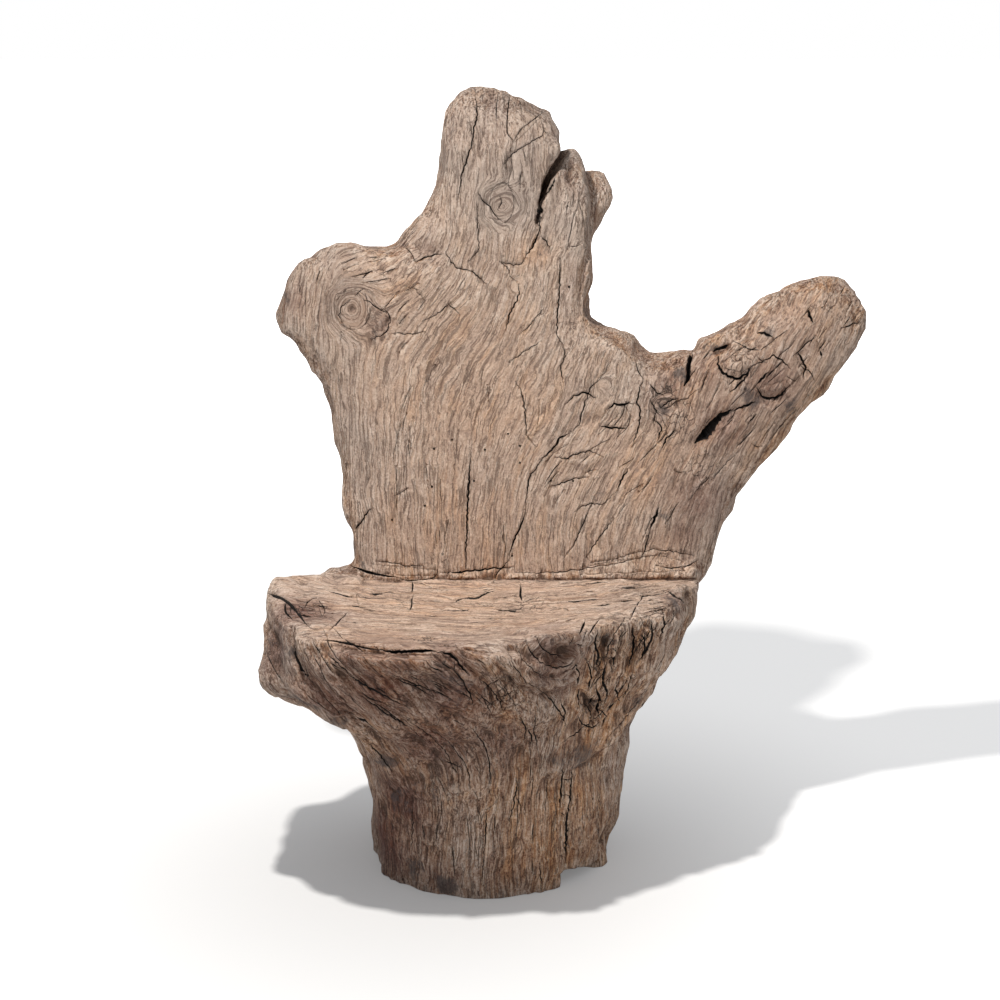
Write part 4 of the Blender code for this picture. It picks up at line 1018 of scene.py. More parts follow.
class Grain:
    """The fibres of the whole log, as three charts and the knots in them."""

    def __init__(self, tree):
        back = drawn_strokes(tree, BACK_STROKES, (0, 2))
        stump = drawn_strokes(tree, STUMP_STROKES, (0, 2))
        seat = drawn_strokes(tree, SEAT_STROKES, (0, 1))
        back += [(np.array([x, 0.05]), np.array([x, 0.33])) for x in REAR_FIBRES]
        self.back = grain_chart(back, (-0.40, -0.05), (0.60, 1.15), (0.0, 1.0))
        self.stump = grain_chart(stump, (-0.40, -0.05), (0.45, 0.50), (0.0, 1.0))
        self.seat = grain_chart(seat, (-0.40, -0.34), (0.40, 0.20), (1.0, 0.0))
        self.knots = []
        for pixel, rings, edge in KNOTS:
            middle = np.array(on_front(tree, *pixel)[0])
            across, _, along = self.straight(middle[None])[0]
            self.knots.append((middle, rings, edge, across, along))

    def straight(self, points):
        across, along = self.back(points[:, 0], points[:, 2])
        low_across, low_along = self.stump(points[:, 0], points[:, 2])
        front = smooth_step(*STUMP_FRONT, points[:, 1]) * smooth_step(*STUMP_BELOW, points[:, 2])
        across = across + (low_across - across) * front
        along = along + (low_along - along) * front
        return np.stack([across, points[:, 1], along], axis=1)

    def upright(self, points):
        """Across the fibres, depth and along the fibres, for all wood but the seat's top."""
        fibres = self.straight(points)
        fibres[:, 0] += fractal_noise(points * CURL_CELLS, 83, 3) * CURL_REACH
        for middle, rings, edge, across, along in self.knots:
            distance = np.linalg.norm((points - middle) * KNOT_SHAPE, axis=1)
            distance += fractal_noise(points * KNOT_CELLS, 71, 2) * rings * KNOT_RIPPLE
            share = smooth_step(edge, rings, distance)
            fibres[:, 0] += (across + distance - fibres[:, 0]) * share
            fibres[:, 2] += (along - fibres[:, 2]) * share * KNOT_HOLD
        return fibres

    def level(self, points):
        """The same for the sawn top of the seat."""
        across, along = self.seat(points[:, 0], points[:, 1])
        across = across + fractal_noise(points * SEAT_CURL_CELLS, 81, 3) * SEAT_CURL_REACH
        return np.stack([across, points[:, 2], along], axis=1)


def seat_share(points, normals):
    """One on the sawn top of the seat, nothing elsewhere."""
    high = smooth_step(*SEAT_ABOVE, points[:, 2]) * smooth_step(*SEAT_BELOW, points[:, 2])
    ahead = smooth_step(*SEAT_AHEAD, points[:, 1] - back_face(points[:, 2]))
    return high * ahead * smooth_step(*SEAT_SLANT, normals[:, 2])


def back_share(points, normals):
    """One on the sawn face of the backrest and the limbs, nothing elsewhere."""
    near = smooth_step(*BACK_NEAR, np.abs(points[:, 1] - back_face(points[:, 2])))
    above = smooth_step(*BACK_ABOVE, points[:, 2])
    return near * above * smooth_step(*BACK_SLANT, -normals[:, 1])


def spots(points, tree, marks):
    """The strongest of the marks at each point, each fading over its own radius."""
    total = np.zeros(len(points))
    for pixel, reach, strength in marks:
        place, _ = on_front(tree, *pixel)
        if place is not None:
            here = strength * np.exp(-((distances(points, place) / reach) ** 2))
            total = np.where(np.abs(here) > np.abs(total), here, total)
    return total


# Relief of the skin: noise in cells per metre, and heights in metres

HUMP_CELLS = 22.0
HUMP_HEIGHT = 0.0024
LUMP_CELLS = 48.0
LUMP_HEIGHT = 0.0010
BEND_CELLS = 30.0
BEND_REACH = (0.6, 0.6, 0.0)
FOLD_CELLS = (50.0, 22.0, 4.0)
FOLD_HEIGHT = 0.0026
COARSE_FIBRE_CELLS = (96.0, 40.0, 5.0)
COARSE_FIBRE_HEIGHT = 0.0015
FINE_FIBRE_CELLS = (190.0, 90.0, 9.0)
FINE_FIBRE_HEIGHT = 0.0010
ROUGH_CELLS = 11.0
FLAKE_CELLS = (60.0, 60.0, 26.0)
FLAKE_LAYERS = 2.2
FLAKE_HEIGHT = 0.0011
RIDGE_STRIDE = 6.0  # in pixels, and so is the sway
RIDGE_SWAY = 0.8
RIDGE_SEARCH = 2.5  # times a ridge's width, around its course
RIDGE_BREAK_CELLS = 70.0
PIT_CELLS = (115.0, 95.0, 34.0)
CRUMB_CELLS = 90.0
CRUMB_HEIGHT = 0.0009
SEAT_WEAR = 0.72  # the share of the coarse relief that the saw took off
BACK_WEAR = 0.74
FOLDS_BELOW = (0.42, 0.37)
FOLDS_AHEAD = (0.06, 0.0)
FOOT_BELOW = (0.19, 0.14)
EDGE_ON = (0.55, 0.25)  # how squarely the camera sees wood that isn't, and that is, edge on


def add_fibres(lift, points, fibres, bend, seat, raw):
    """Folds on the stump, fibres everywhere, and flakes on the seat and the stump."""
    stump = smooth_step(*FOLDS_BELOW, points[:, 2]) * smooth_step(*FOLDS_AHEAD, points[:, 1])
    foot = smooth_step(*FOOT_BELOW, points[:, 2])
    folds = creased_noise(fibres * FOLD_CELLS + bend, 35)
    lift += folds * FOLD_HEIGHT * stump * (1.0 - 0.5 * foot) * (1.0 - seat)
    coarse = creased_noise(fibres * COARSE_FIBRE_CELLS + bend, 32) * COARSE_FIBRE_HEIGHT
    fine = creased_noise(fibres * FINE_FIBRE_CELLS + bend, 33) * FINE_FIBRE_HEIGHT
    rough = 0.40 + 0.60 * smooth_step(-0.4, 0.6, value_noise(points * ROUGH_CELLS, 34))
    lift += (coarse + fine) * (0.36 + 0.64 * raw) * rough
    flakes = value_noise(fibres * FLAKE_CELLS + bend, 36) * FLAKE_LAYERS
    flakes = np.floor(flakes) + smooth_step(0.0, 0.35, flakes - np.floor(flakes))
    lift += flakes * FLAKE_HEIGHT * np.maximum(seat, raw * stump * 0.7)


def add_ridges(lift, points, tree):
    """The drawn ridges and furrows, broken here and there and fading at their ends."""
    for width, height, *corners in RIDGES:
        line = wander(corners, RIDGE_STRIDE, RIDGE_SWAY, int(width * 10))
        places, _ = course(tree, on_front, line)
        reach = width * MILLIMETRE
        low = np.min([place[:] for place in places], axis=0) - reach * RIDGE_SEARCH
        high = np.max([place[:] for place in places], axis=0) + reach * RIDGE_SEARCH
        near = np.flatnonzero(((points > low) & (points < high)).all(axis=1))
        gap, along = distance_to_course(points[near], places)
        ends = smooth_step(0.0, 0.18, along) * smooth_step(1.0, 0.82, along)
        broken = 0.80 + 0.50 * value_noise(points[near] * RIDGE_BREAK_CELLS, 41)
        profile = np.exp(-((gap / (reach * 0.5)) ** 2))
        lift[near] += height * MILLIMETRE * profile * ends * broken


def add_swells(lift, points, normals, tree):
    """The drawn swells and hollows, and the trims of the outline on the wood seen edge on."""
    for pixel, reach, height in SWELLS:
        place, _ = on_front(tree, *pixel)
        if place is not None:
            gap = distances(points, place) / (reach * MILLIMETRE)
            lift += height * MILLIMETRE * np.exp(-(gap**2))
    u, v = photo_pixels(points)
    edge_on = smooth_step(*EDGE_ON, np.abs(normals @ np.array(FORWARD)))
    for (edge_u, edge_v), reach, height in OUTLINE:
        gap = np.hypot(u - edge_u, v - edge_v) / reach
        lift += height * MILLIMETRE * np.exp(-(gap**2)) * edge_on


def add_crazing(lift, points, fibres, bend, raw, tree):
    """Pits and crumbs where the wood has crazed into small blocks."""
    ravaged = np.clip(spots(points, tree, CRAZED) * 1.2, 0.0, 1.0)
    pits = np.abs(value_noise(fibres * PIT_CELLS + bend, 51))
    lift -= smooth_step(0.24, 0.0, pits) * (0.0016 + 0.0034 * raw) * ravaged
    lift += fractal_noise(points * CRUMB_CELLS, 61, 2) * CRUMB_HEIGHT * ravaged


def furrow(skin, tree, grain):
    """Moves the skin along its normals: humps, drawn ridges and furrows, and raised fibres."""
    mesh = skin.data
    points = points_of(mesh)
    normals = normals_of(mesh)
    seat = seat_share(points, normals)
    back = back_share(points, normals)
    raw = 1.0 - np.maximum(seat * SEAT_WEAR, back * BACK_WEAR)
    fibres = grain.upright(points)
    fibres += (grain.level(points) - fibres) * smooth_step(0.3, 0.7, seat)[:, None]
    bend = value_noise(points * BEND_CELLS, 31)[:, None] * BEND_REACH

    lift = fractal_noise(points * HUMP_CELLS, 11, 3) * HUMP_HEIGHT * raw
    lift += fractal_noise(points * LUMP_CELLS, 21, 3) * LUMP_HEIGHT * (0.4 + 0.6 * raw)
    add_fibres(lift, points, fibres, bend, seat, raw)
    add_ridges(lift, points, tree)
    add_swells(lift, points, normals, tree)
    add_crazing(lift, points, fibres, bend, raw, tree)
    moved = points + normals * lift[:, None]
    mesh.vertices.foreach_set("co", moved.astype(np.float32).ravel())
    mesh.update()


def saw_level(skin):
    """Saws off what reaches below the floor."""
    bpy.ops.mesh.primitive_cube_add(size=1.0, location=(0.0, 0.0, FLOOR_CLEARANCE - 0.5))
    carve(skin, "DIFFERENCE", bpy.context.active_object)


def thin_out(skin):
    """Leaves fewer faces, and the fewest where the photograph doesn't show the wood."""
    for wanted, shown in ((REAR_FACES, False), (FRONT_FACES, True)):
        edit_all(skin)
        bpy.ops.mesh.select_mode(type="FACE")
        bpy.ops.mesh.quads_convert_to_tris()
        bpy.ops.mesh.select_all(action="DESELECT")
        bm = bmesh.from_edit_mesh(skin.data)
        chosen = 0
        for face in bm.faces:
            towards = (CAMERA_PLACE - face.verts[0].co).normalized()
            if (face.normal.dot(towards) > JUST_HIDDEN) == shown:
                face.select_set(True)
                chosen += 1
        bmesh.update_edit_mesh(skin.data)
        bpy.ops.mesh.decimate(ratio=min(1.0, wanted / chosen))
        edit_done()


# Cracks

CRACK_STRIDE = 2.4  # in pixels, and so is the sway
CRACK_SWAY = 0.75
REAR_STRIDE = 0.008  # in metres, and so is the sway
REAR_SWAY = 0.003
REAR_SEED = 500
BLADE_RISE = 0.005  # how far a blade stands out of the wood
NARROWEST = 0.22  # shares of a blade's full width
WIDEST = 0.66
WIDTH_CHANGE = 0.09
FLATTEST_VIEW = 0.38  # at flatter angles than this a crack isn't cut wider still
CHECK_SEED = 600
CHECK_STRIDE = 4.0  # in pixels
CHECK_LEAD = 22.0  # how far a stroke leads a check, in pixels
CHECK_TURN = 0.07  # how far a check leans off the strokes, and swerves at a stride, in radians
CHECK_SWERVE = 0.12
CROSSING_CHECKS = 0.05  # the share that runs across the fibres
PIN_SIDES = 7
PIN_RISE = 0.004


def close_loops(bm, loops):
    """Joins loops of points into one closed body."""
    sides = len(loops[0])
    for near, far in zip(loops, loops[1:]):
        for i in range(sides):
            j = (i + 1) % sides
            bm.faces.new((near[i], near[j], far[j], far[i]))
    bm.faces.new(list(reversed(loops[0])))
    bm.faces.new(loops[-1])


def crack_blade(places, normals, width, depth, seed, drawn):
    """A wedge that follows a course over the wood, narrow at its ends and uneven in between.

    A crack drawn on the photograph is cut wider where the wood is seen at a flat angle.
    """
    bm = bmesh.new()
    draw = np.random.default_rng(seed)
    last = len(places) - 1
    lean = sum(normals, Vector()).normalized()
    loops = []
    swell = 0.5
    for i, place in enumerate(places):
        ahead = places[min(i + 2, last)] - places[max(i - 2, 0)]
        normal = (normals[i] * 0.15 + lean * 0.85).normalized()
        side = ahead.cross(normal)
        if side.length < TINY:
            continue
        side.normalize()
        share = i / last
        taper = 0.18 + 0.82 * min(1.0, 4.0 * share, 4.0 * (1.0 - share))
        swell = min(WIDEST, max(NARROWEST, swell + draw.uniform(-WIDTH_CHANGE, WIDTH_CHANGE)))
        half = width * taper * swell
        if drawn:
            half /= max(FLATTEST_VIEW, side.cross((place - CAMERA_PLACE).normalized()).length)
        deep = depth * (0.35 + 0.65 * taper)
        wide = half * (1.0 + BLADE_RISE / deep)
        ring = (
            place + side * wide + normal * BLADE_RISE,
            place - side * wide + normal * BLADE_RISE,
            place - normal * deep,
        )
        loops.append([bm.verts.new(corner) for corner in ring])
    if len(loops) < 2:
        return None
    close_loops(bm, loops)
    return bm


def beetle_pin(place, normal):
    """A short round cut, as a wood beetle leaves it."""
    bm = bmesh.new()
    side = normal.orthogonal().normalized()
    other = normal.cross(side)
    loops = []
    for height, size in ((PIN_RISE, 1.0), (-BEETLE_HOLE_DEPTH, 0.8)):
        loops.append([])
        for step in range(PIN_SIDES):
            angle = math.tau * step / PIN_SIDES
            reach = side * math.cos(angle) + other * math.sin(angle)
            corner = place + normal * height + reach * (BEETLE_HOLE_WIDTH * size / 2.0)
            loops[-1].append(bm.verts.new(corner))
    close_loops(bm, loops)
    return bm


def check_lines():
    """Short drying checks strewn over the named fields, each along the strokes around it."""
    strokes = {"back": BACK_STROKES, "stump": STUMP_STROKES, "seat": SEAT_STROKES}
    draw = np.random.default_rng(2026)
    lines = []
    for (u, v), (reach_u, reach_v), count, longest, widest, name in CHECK_FIELDS:
        starts = np.array([start for start, _ in strokes[name]], float)
        ends = np.array([end for _, end in strokes[name]], float)
        middles = (starts + ends) / 2.0
        courses = (ends - starts) / np.linalg.norm(ends - starts, axis=1, keepdims=True)
        for _ in range(count):
            angle = draw.uniform(0.0, math.tau)
            out = math.sqrt(draw.uniform(0.0, 1.0))
            at = np.array([u + reach_u * out * math.cos(angle), v + reach_v * out * math.sin(angle)])
            length = longest * (0.25 + 0.75 * draw.uniform(0.0, 1.0) ** 2)
            turn = draw.normal(0.0, CHECK_TURN)
            if draw.uniform(0.0, 1.0) < CROSSING_CHECKS:
                turn += math.pi / 2.0
                length *= 0.4
            line = [tuple(at)]
            while len(line) < max(4, length / CHECK_STRIDE):
                gaps = ((middles - at) ** 2).sum(axis=1)
                weight = np.exp(-gaps / (2.0 * CHECK_LEAD**2)) + 1.0e-9
                flow = (courses * weight[:, None]).sum(axis=0)
                heading = math.atan2(flow[1], flow[0]) + turn
                turn = turn * 0.8 + draw.normal(0.0, CHECK_SWERVE)
                at = at + CHECK_STRIDE * np.array([math.cos(heading), math.sin(heading)])
                line.append(tuple(at))
            width = widest * draw.uniform(0.45, 1.0)
            lines.append((width, width * 4.0 + 2.0, line))
    return lines


def crack_blades(tree):
    """The cutters of all cracks and beetle holes, and where on the wood they run."""
    cuts = []
    for seed, (width, depth, *corners) in enumerate(CRACKS):
        cuts.append((on_front, width, depth, wander(corners, CRACK_STRIDE, CRACK_SWAY, seed), seed))
    for seed, (width, depth, *corners) in enumerate(REAR_CRACKS, REAR_SEED):
        cuts.append((on_rear, width, depth, wander(corners, REAR_STRIDE, REAR_SWAY, seed), seed))
    for seed, (width, depth, line) in enumerate(check_lines(), CHECK_SEED):
        cuts.append((on_front, width, depth, line, seed))
    blades = []
    marks = []
    for find, width, depth, line, seed in cuts:
        drawn = find is on_front
        for places, normals in stretches(*course(tree, find, line)):
            bm = crack_blade(places, normals, width * MILLIMETRE, depth * MILLIMETRE, seed, drawn)
            if bm:
                marks += places
                blades.append(bm)
    blades += [beetle_pin(*on_front(tree, *pixel)) for pixel in BEETLE_HOLES]
    return blades, marks


def rounds_of(blades):
    """The blades in rounds, in each of which no blade touches another."""
    rounds = []
    for bm in blades:
        bm.verts.ensure_lookup_table()
        bm.faces.ensure_lookup_table()
        tree = BVHTree.FromBMesh(bm)
        for members in rounds:
            if not any(tree.overlap(other) for _, other in members):
                members.append((bm, tree))
                break
        else:
            rounds.append([(bm, tree)])
    return rounds


def crack_wood(skin, tree):
    """Cuts every crack and beetle hole, and tells where they run."""
    blades, marks = crack_blades(tree)
    rounds = rounds_of(blades)
    for number, members in enumerate(rounds):
        joined = bmesh.new()
        for bm, _ in members:
            mesh = bpy.data.meshes.new("blade")
            bmesh.ops.recalc_face_normals(bm, faces=bm.faces)
            bm.to_mesh(mesh)
            bm.free()
            joined.from_mesh(mesh)
            bpy.data.meshes.remove(mesh)
        mesh = bpy.data.meshes.new(f"blades_{number}")
        joined.to_mesh(mesh)
        joined.free()
        carve(skin, "DIFFERENCE", show(bpy.data.objects.new(mesh.name, mesh)))
    print("cracks:", len(blades), "in rounds:", len(rounds), "faces:", len(skin.data.polygons))
    return marks


# Parting the loose pieces

DRAW_OUT = 0.030  # how far a piece's shape is drawn out through the wood
SHAKE = 0.00045  # the open gap round a loose piece
SAME_CORNER = 0.0002


def parting_cutter(node_name, grow):
    """The solid that parts a loose piece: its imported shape, drawn out through the wood."""
    cutter = solid_copy(node_name, "cutter_" + node_name)
    pulls = [(0.0, -DRAW_OUT, 0.0)]
    if node_name == "front_lip_flake":
        pulls.append((0.0, 0.0, DRAW_OUT))
    edit_all(cutter)
    for pull in pulls:
        bpy.ops.mesh.select_all(action="SELECT")
        bpy.ops.mesh.duplicate()
        bpy.ops.transform.translate(value=pull)
    bpy.ops.mesh.select_all(action="SELECT")
    bpy.ops.mesh.convex_hull()
    bpy.ops.mesh.select_all(action="SELECT")
    bpy.ops.mesh.remove_doubles(threshold=SAME_CORNER)
    bpy.ops.mesh.select_all(action="SELECT")
    bpy.ops.mesh.normals_make_consistent(inside=False)
    if grow:
        bpy.ops.transform.shrink_fatten(value=grow)
    edit_done()
    return cutter


def keep_largest(obj):
    """The largest body of an object, without the crumbs that a cut leaves beside it."""
    pick(obj)
    bpy.ops.mesh.separate(type="LOOSE")
    bodies = sorted(bpy.context.selected_objects, key=lambda body: len(body.data.vertices))
    for crumb in bodies[:-1]:
        bpy.data.objects.remove(crumb, do_unlink=True)
    return bodies[-1]


def part_pieces(skin):
    """The log and its loose pieces, each a closed body with a shake between them."""
    pieces = {}
    for node_name in sorted(frame["nodes"]):
        if node_name == "root_log":
            continue
        piece = show(bpy.data.objects.new("worn_" + node_name, skin.data.copy()))
        carve(piece, "INTERSECT", parting_cutter(node_name, 0.0))
        carve(skin, "DIFFERENCE", parting_cutter(node_name, SHAKE))
        pieces[node_name] = keep_largest(piece)
    pieces["root_log"] = keep_largest(skin)
    return pieces


# What the materials read from the wood

CRACK_DARKENING_REACH = 0.004  # how far from a crack the wood is darker
CRACK_SEARCH = 0.03  # and how far from one its depth is measured
FINE_PASSES = 6
WIDE_PASSES = 32
# Painted shade on the low wood turned away from the camera: how far a normal leans away, the heights over
# which the shade fades in, and its strength
HIDDEN = (-0.25, 0.15)  # of a normal's lean away from the camera
LOW_SHADE_BELOW = (0.40, 0.26)
HIDDEN_SHADE = 0.50


def write_attribute(mesh, name, values):
    """Writes a number or a vector for each point."""
    kind, key = ("FLOAT", "value") if values.ndim == 1 else ("FLOAT_VECTOR", "vector")
    attribute = mesh.attributes.new(name, kind, "POINT")
    attribute.data.foreach_set(key, values.astype(np.float32).ravel())


def hollowness(mesh, points, normals, passes):
    """How far the wood around each point stands over it, in millimetres."""
    ends = np.empty(len(mesh.edges) * 2, np.int32)
    mesh.edges.foreach_get("vertices", ends)
    first, second = ends.reshape(-1, 2).T

    def sums(at_first, at_second):
        """Sums what the edges bring to each point at their first and at their second end."""
        return np.bincount(first, at_first, len(points)) + np.bincount(second, at_second, len(points))

    lengths = np.linalg.norm(points[first] - points[second], axis=1)
    count = np.maximum(sums(None, None), 1)
    size = sums(lengths, lengths) / count
    eased = points.copy()
    for _ in range(passes):
        total = np.empty_like(eased)
        for axis in range(3):
            total[:, axis] = sums(eased[second, axis], eased[first, axis])
        eased = eased * 0.3 + total / count[:, None] * 0.7
    stands_over = ((eased - points) * normals).sum(axis=1) * MILLIMETRES
    return stands_over * np.minimum(1.0, SKIN_CELL * 1.6 / np.maximum(size, TINY)) ** 2


def dress(obj, tree, grain, marks):
    """Writes the fibre coordinates and the masks that the wood materials read."""
    mesh = obj.data
    points = points_of(mesh)
    normals = normals_of(mesh)
    seat = seat_share(points, normals)
    gaps = np.array([marks.find(point)[2] for point in points])
    depths = np.zeros(len(points))
    # Of the log, only what lies near a crack counts as deep
    for i in np.flatnonzero((gaps < CRACK_SEARCH) | (obj.name != "skin")):
        depths[i] = tree.find_nearest(points[i])[3]
    hidden = smooth_step(*HIDDEN, normals @ np.array(FORWARD))
    # Painted shade: the low wood turned away from the camera is darker
    low = smooth_step(*LOW_SHADE_BELOW, points[:, 2]) * hidden * HIDDEN_SHADE
    knots = np.zeros(len(points))
    for middle, rings, *_ in grain.knots[:DENSE_KNOTS]:
        knots = np.maximum(knots, smooth_step(rings * 1.5, rings * 0.8, distances(points, middle)))
    masks = {
        "fibre": grain.upright(points),
        "seat_fibre": grain.level(points),
        "seat_share": seat,
        "raw": 1.0 - np.maximum(seat, back_share(points, normals)),
        "crack": np.clip(1.0 - gaps / CRACK_DARKENING_REACH, 0.0, 1.0),
        "depth": depths * MILLIMETRES,
        "hollow": hollowness(mesh, points, normals, FINE_PASSES),
        "vale": hollowness(mesh, points, normals, WIDE_PASSES),
        "stain": spots(points, tree, STAINS),
        "crazed": spots(points, tree, CRAZED),
        "warmth": spots(points, tree, WARMTH),
        "dusk": np.maximum(spots(points, tree, DAMP_AND_SHADE), low),
        "knot": knots,
    }
    for name, values in masks.items():
        write_attribute(mesh, name, values)


# Materials


def colour(red, green, blue):
    """A colour as it is seen, from 0 to 255, in the linear values that a shader takes."""
    linear = []
    for level in (red, green, blue):
        share = level / 255.0
        linear.append(share / 12.92 if share <= 0.04045 else ((share + 0.055) / 1.055) ** 2.4)
    return (*linear, 1.0)


PALE_FIBRE = colour(226, 207, 192)
TAN_FIBRE = colour(193, 167, 149)
BROWN_FIBRE = colour(154, 124, 106)
DARK_FIBRE = colour(78, 56, 44)
RING_FIBRE = colour(150, 114, 86)
HONEY_TINT = colour(255, 238, 220)
GOLD_TINT = colour(255, 228, 190)
LILAC_TINT = colour(226, 222, 226)
GREY_WEATHER = colour(156, 145, 138)
# Painted shade inside the cracks and in the checks
CRACK_SHADE = colour(26, 19, 15)
# Dark brown for the wood along the cracks, and for painted shade in the hollows and valleys
SHADE_AND_CRACK_DARK = colour(74, 58, 48)
STAIN_DARK = colour(74, 68, 68)
# The tint of damp wood and of painted shade
DAMP_AND_SHADE_TINT = colour(138, 104, 96)
FIBRE_SHADES = ((0.26, DARK_FIBRE), (0.40, BROWN_FIBRE), (0.53, TAN_FIBRE), (0.72, PALE_FIBRE))

# The wood of each slot: its name, its tint and how rough it is
WOODS = {
    "root_wood": ("weathered root wood", (1.0, 0.985, 0.965, 1.0), 0.72),
    "knot_wood": ("dense knot wood", (0.98, 0.96, 0.935, 1.0), 0.68),
    "sliver_wood": ("split sliver wood", (1.0, 0.98, 0.95, 1.0), 0.76),
}
SHINE_SPREAD = 0.08
GLOSS = 0.35
BUMP_REACH = 0.0042

# Noise in the grain: cells per metre across, deep and along, then detail, roughness, distortion
GRAIN_NOISES = {
    "streak": ((250.0, 220.0, 6.0), 5.0, 0.62, 0.3),
    "ripple": ((300.0, 280.0, 110.0), 4.0, 0.66, 0.6),
    "sway": ((20.0, 18.0, 3.0), 3.0, 0.55, 0.0),
    "grooves": ((78.0, 66.0, 3.0), 3.0, 0.55, 0.3),
    "places": ((26.0, 22.0, 6.0), 3.0, 0.6, 0.0),
    "gaps": ((430.0, 380.0, 11.0), 3.0, 0.6, 0.5),
    "pores": ((820.0, 820.0, 120.0), 2.0, 0.5, 0.3),
    "threads": ((150.0, 130.0, 13.0), 4.0, 0.66, 0.4),
    "bands": ((44.0, 38.0, 7.0), 2.0, 0.5, 0.0),
}
SWIRL_CELLS = (66.0, 54.0, 46.0)
SWIRL_REACH = (0.0075, 0.0060, 0.0)
RINGS_PER_METRE = 125.0
RING_SWAY = 9.0
GRAIN_OUTPUTS = ("Streak", "Ring", "Dark", "Hue", "Height")
BLOCK_CELLS = (92.0, 92.0, 66.0)

# Noise over the whole wood: cells per metre, detail, roughness, distortion
PATCH_NOISES = {
    "patches": (9.0, 4.0, 0.55, 0.3),
    "blotches": (48.0, 6.0, 0.66, 0.5),
    "specks": (360.0, 4.0, 0.66, 0.0),
    "mould": (27.0, 7.0, 0.72, 0.6),
}
MASKS = ("seat_share", "raw", "crack", "depth", "hollow", "vale", "stain", "crazed", "warmth", "dusk", "knot")


def node_group(name, inputs, outputs):
    """A group of nodes: its tree, what it is given and where its answers go."""
    group = bpy.data.node_groups.new(name, "ShaderNodeTree")
    for socket, kind in inputs.items():
        group.interface.new_socket(name=socket, in_out="INPUT", socket_type=kind)
    for socket in outputs:
        group.interface.new_socket(name=socket, in_out="OUTPUT", socket_type="NodeSocketFloat")
    given = group.nodes.new("NodeGroupInput").outputs
    return group, given, group.nodes.new("NodeGroupOutput").inputs


def root_grain_group():
    """Fibres, growth rings, pores and long grooves, from coordinates across, deep and along."""
    group, given, wanted = node_group("root grain", {"Fibre": "NodeSocketVector"}, GRAIN_OUTPUTS)
    make = NodeMaker(group)
    swirl = make.noise(make.stretch(given["Fibre"], SWIRL_CELLS), 1.0, 5.0, 0.70, output="Color")
    fibre = make.shift(given["Fibre"], swirl, SWIRL_REACH)
    noises = {
        name: make.noise(make.stretch(fibre, cells), 1.0, *rest)
        for name, (cells, *rest) in GRAIN_NOISES.items()
    }
    streak, ripple, sway = (noises[name] for name in ("streak", "ripple", "sway"))

    across = make.add("SeparateXYZ", {0: fibre}).outputs["X"]
    turns = make.times_plus(across, RINGS_PER_METRE, make.times(sway, RING_SWAY))
    ring = make.step(make.math("PINGPONG", turns, 0.5), 0.30, 0.47)
    middle = make.math("ABSOLUTE", make.math("SUBTRACT", noises["grooves"], 0.5))
    crease = make.times(make.step(middle, 0.016, 0.003), make.step(noises["places"], 0.48, 0.58))
    gap = make.step(make.times_plus(sway, 0.10, noises["gaps"]), 0.585, 0.665)
    pore = make.step(noises["pores"], 0.63, 0.74)
    dark = make.math("MAXIMUM", crease, make.times(pore, 0.7))
    dark = make.math("MAXIMUM", dark, make.times(gap, 0.80))
    height = make.times_plus(streak, 0.54, make.times(ripple, 0.40))
    for form, depth in ((crease, -0.16), (pore, -0.06), (gap, -0.20), (ring, -0.035)):
        height = make.times_plus(form, depth, height)
    blend = make.times_plus(ripple, 0.54, make.times(streak, 0.46))
    hue = make.times_plus(noises["bands"], 0.5, make.times(noises["threads"], 0.5))
    for name, answer in zip(GRAIN_OUTPUTS, (blend, ring, dark, hue, height)):
        group.links.new(answer, wanted[name])
    return group


def crazing_group():
    """Short checks that part dry wood into small blocks, longer along the fibres."""
    inputs = {"Fibre": "NodeSocketVector", "Amount": "NodeSocketFloat"}
    group, given, wanted = node_group("crazing", inputs, ("Check",))
    make = NodeMaker(group)
    blocks = make.stretch(given["Fibre"], BLOCK_CELLS)
    wandering = make.noise(blocks, 1.6, 3.0, 0.5, output="Color")
    blocks = make.shift(blocks, wandering, (0.7, 0.7, 0.7))
    cells = make.add("TexVoronoi", {"Scale": 1.0, "Vector": blocks}, feature="DISTANCE_TO_EDGE")
    reach = make.step(given["Amount"], 0.15, 0.9, 0.0, 0.085)
    check = make.step(make.math("SUBTRACT", reach, cells.outputs["Distance"]), -0.01, 0.05)
    group.links.new(check, wanted["Check"])
    return group


def wood_features(make, grain_group, craze_group):
    """What a wood material reads: the masks of the mesh, noise over the wood, and the grain."""
    features = {name: make.attribute(name) for name in MASKS}
    place = make.add("TexCoord").outputs["Object"]
    for name, noise in PATCH_NOISES.items():
        features[name] = make.noise(place, *noise)
    flat = make.step(features["seat_share"], 0.35, 0.65)
    fibre = make.attribute("fibre", "Vector")
    seat_fibre = make.attribute("seat_fibre", "Vector")
    upright = make.add("Group", {"Fibre": fibre}, node_tree=grain_group).outputs
    level = make.add("Group", {"Fibre": seat_fibre}, node_tree=grain_group).outputs
    for name in GRAIN_OUTPUTS:
        mixed = make.add("Mix", {0: flat, 2: upright[name], 3: level[name]})
        features[name.lower()] = mixed.outputs[0]
    amount = make.plus(make.times_plus(features["blotches"], 0.9, -0.45), features["crazed"])
    crazing = make.add("Group", {"Fibre": fibre, "Amount": amount}, node_tree=craze_group)
    features["check"] = crazing.outputs["Check"]
    return SimpleNamespace(**features)


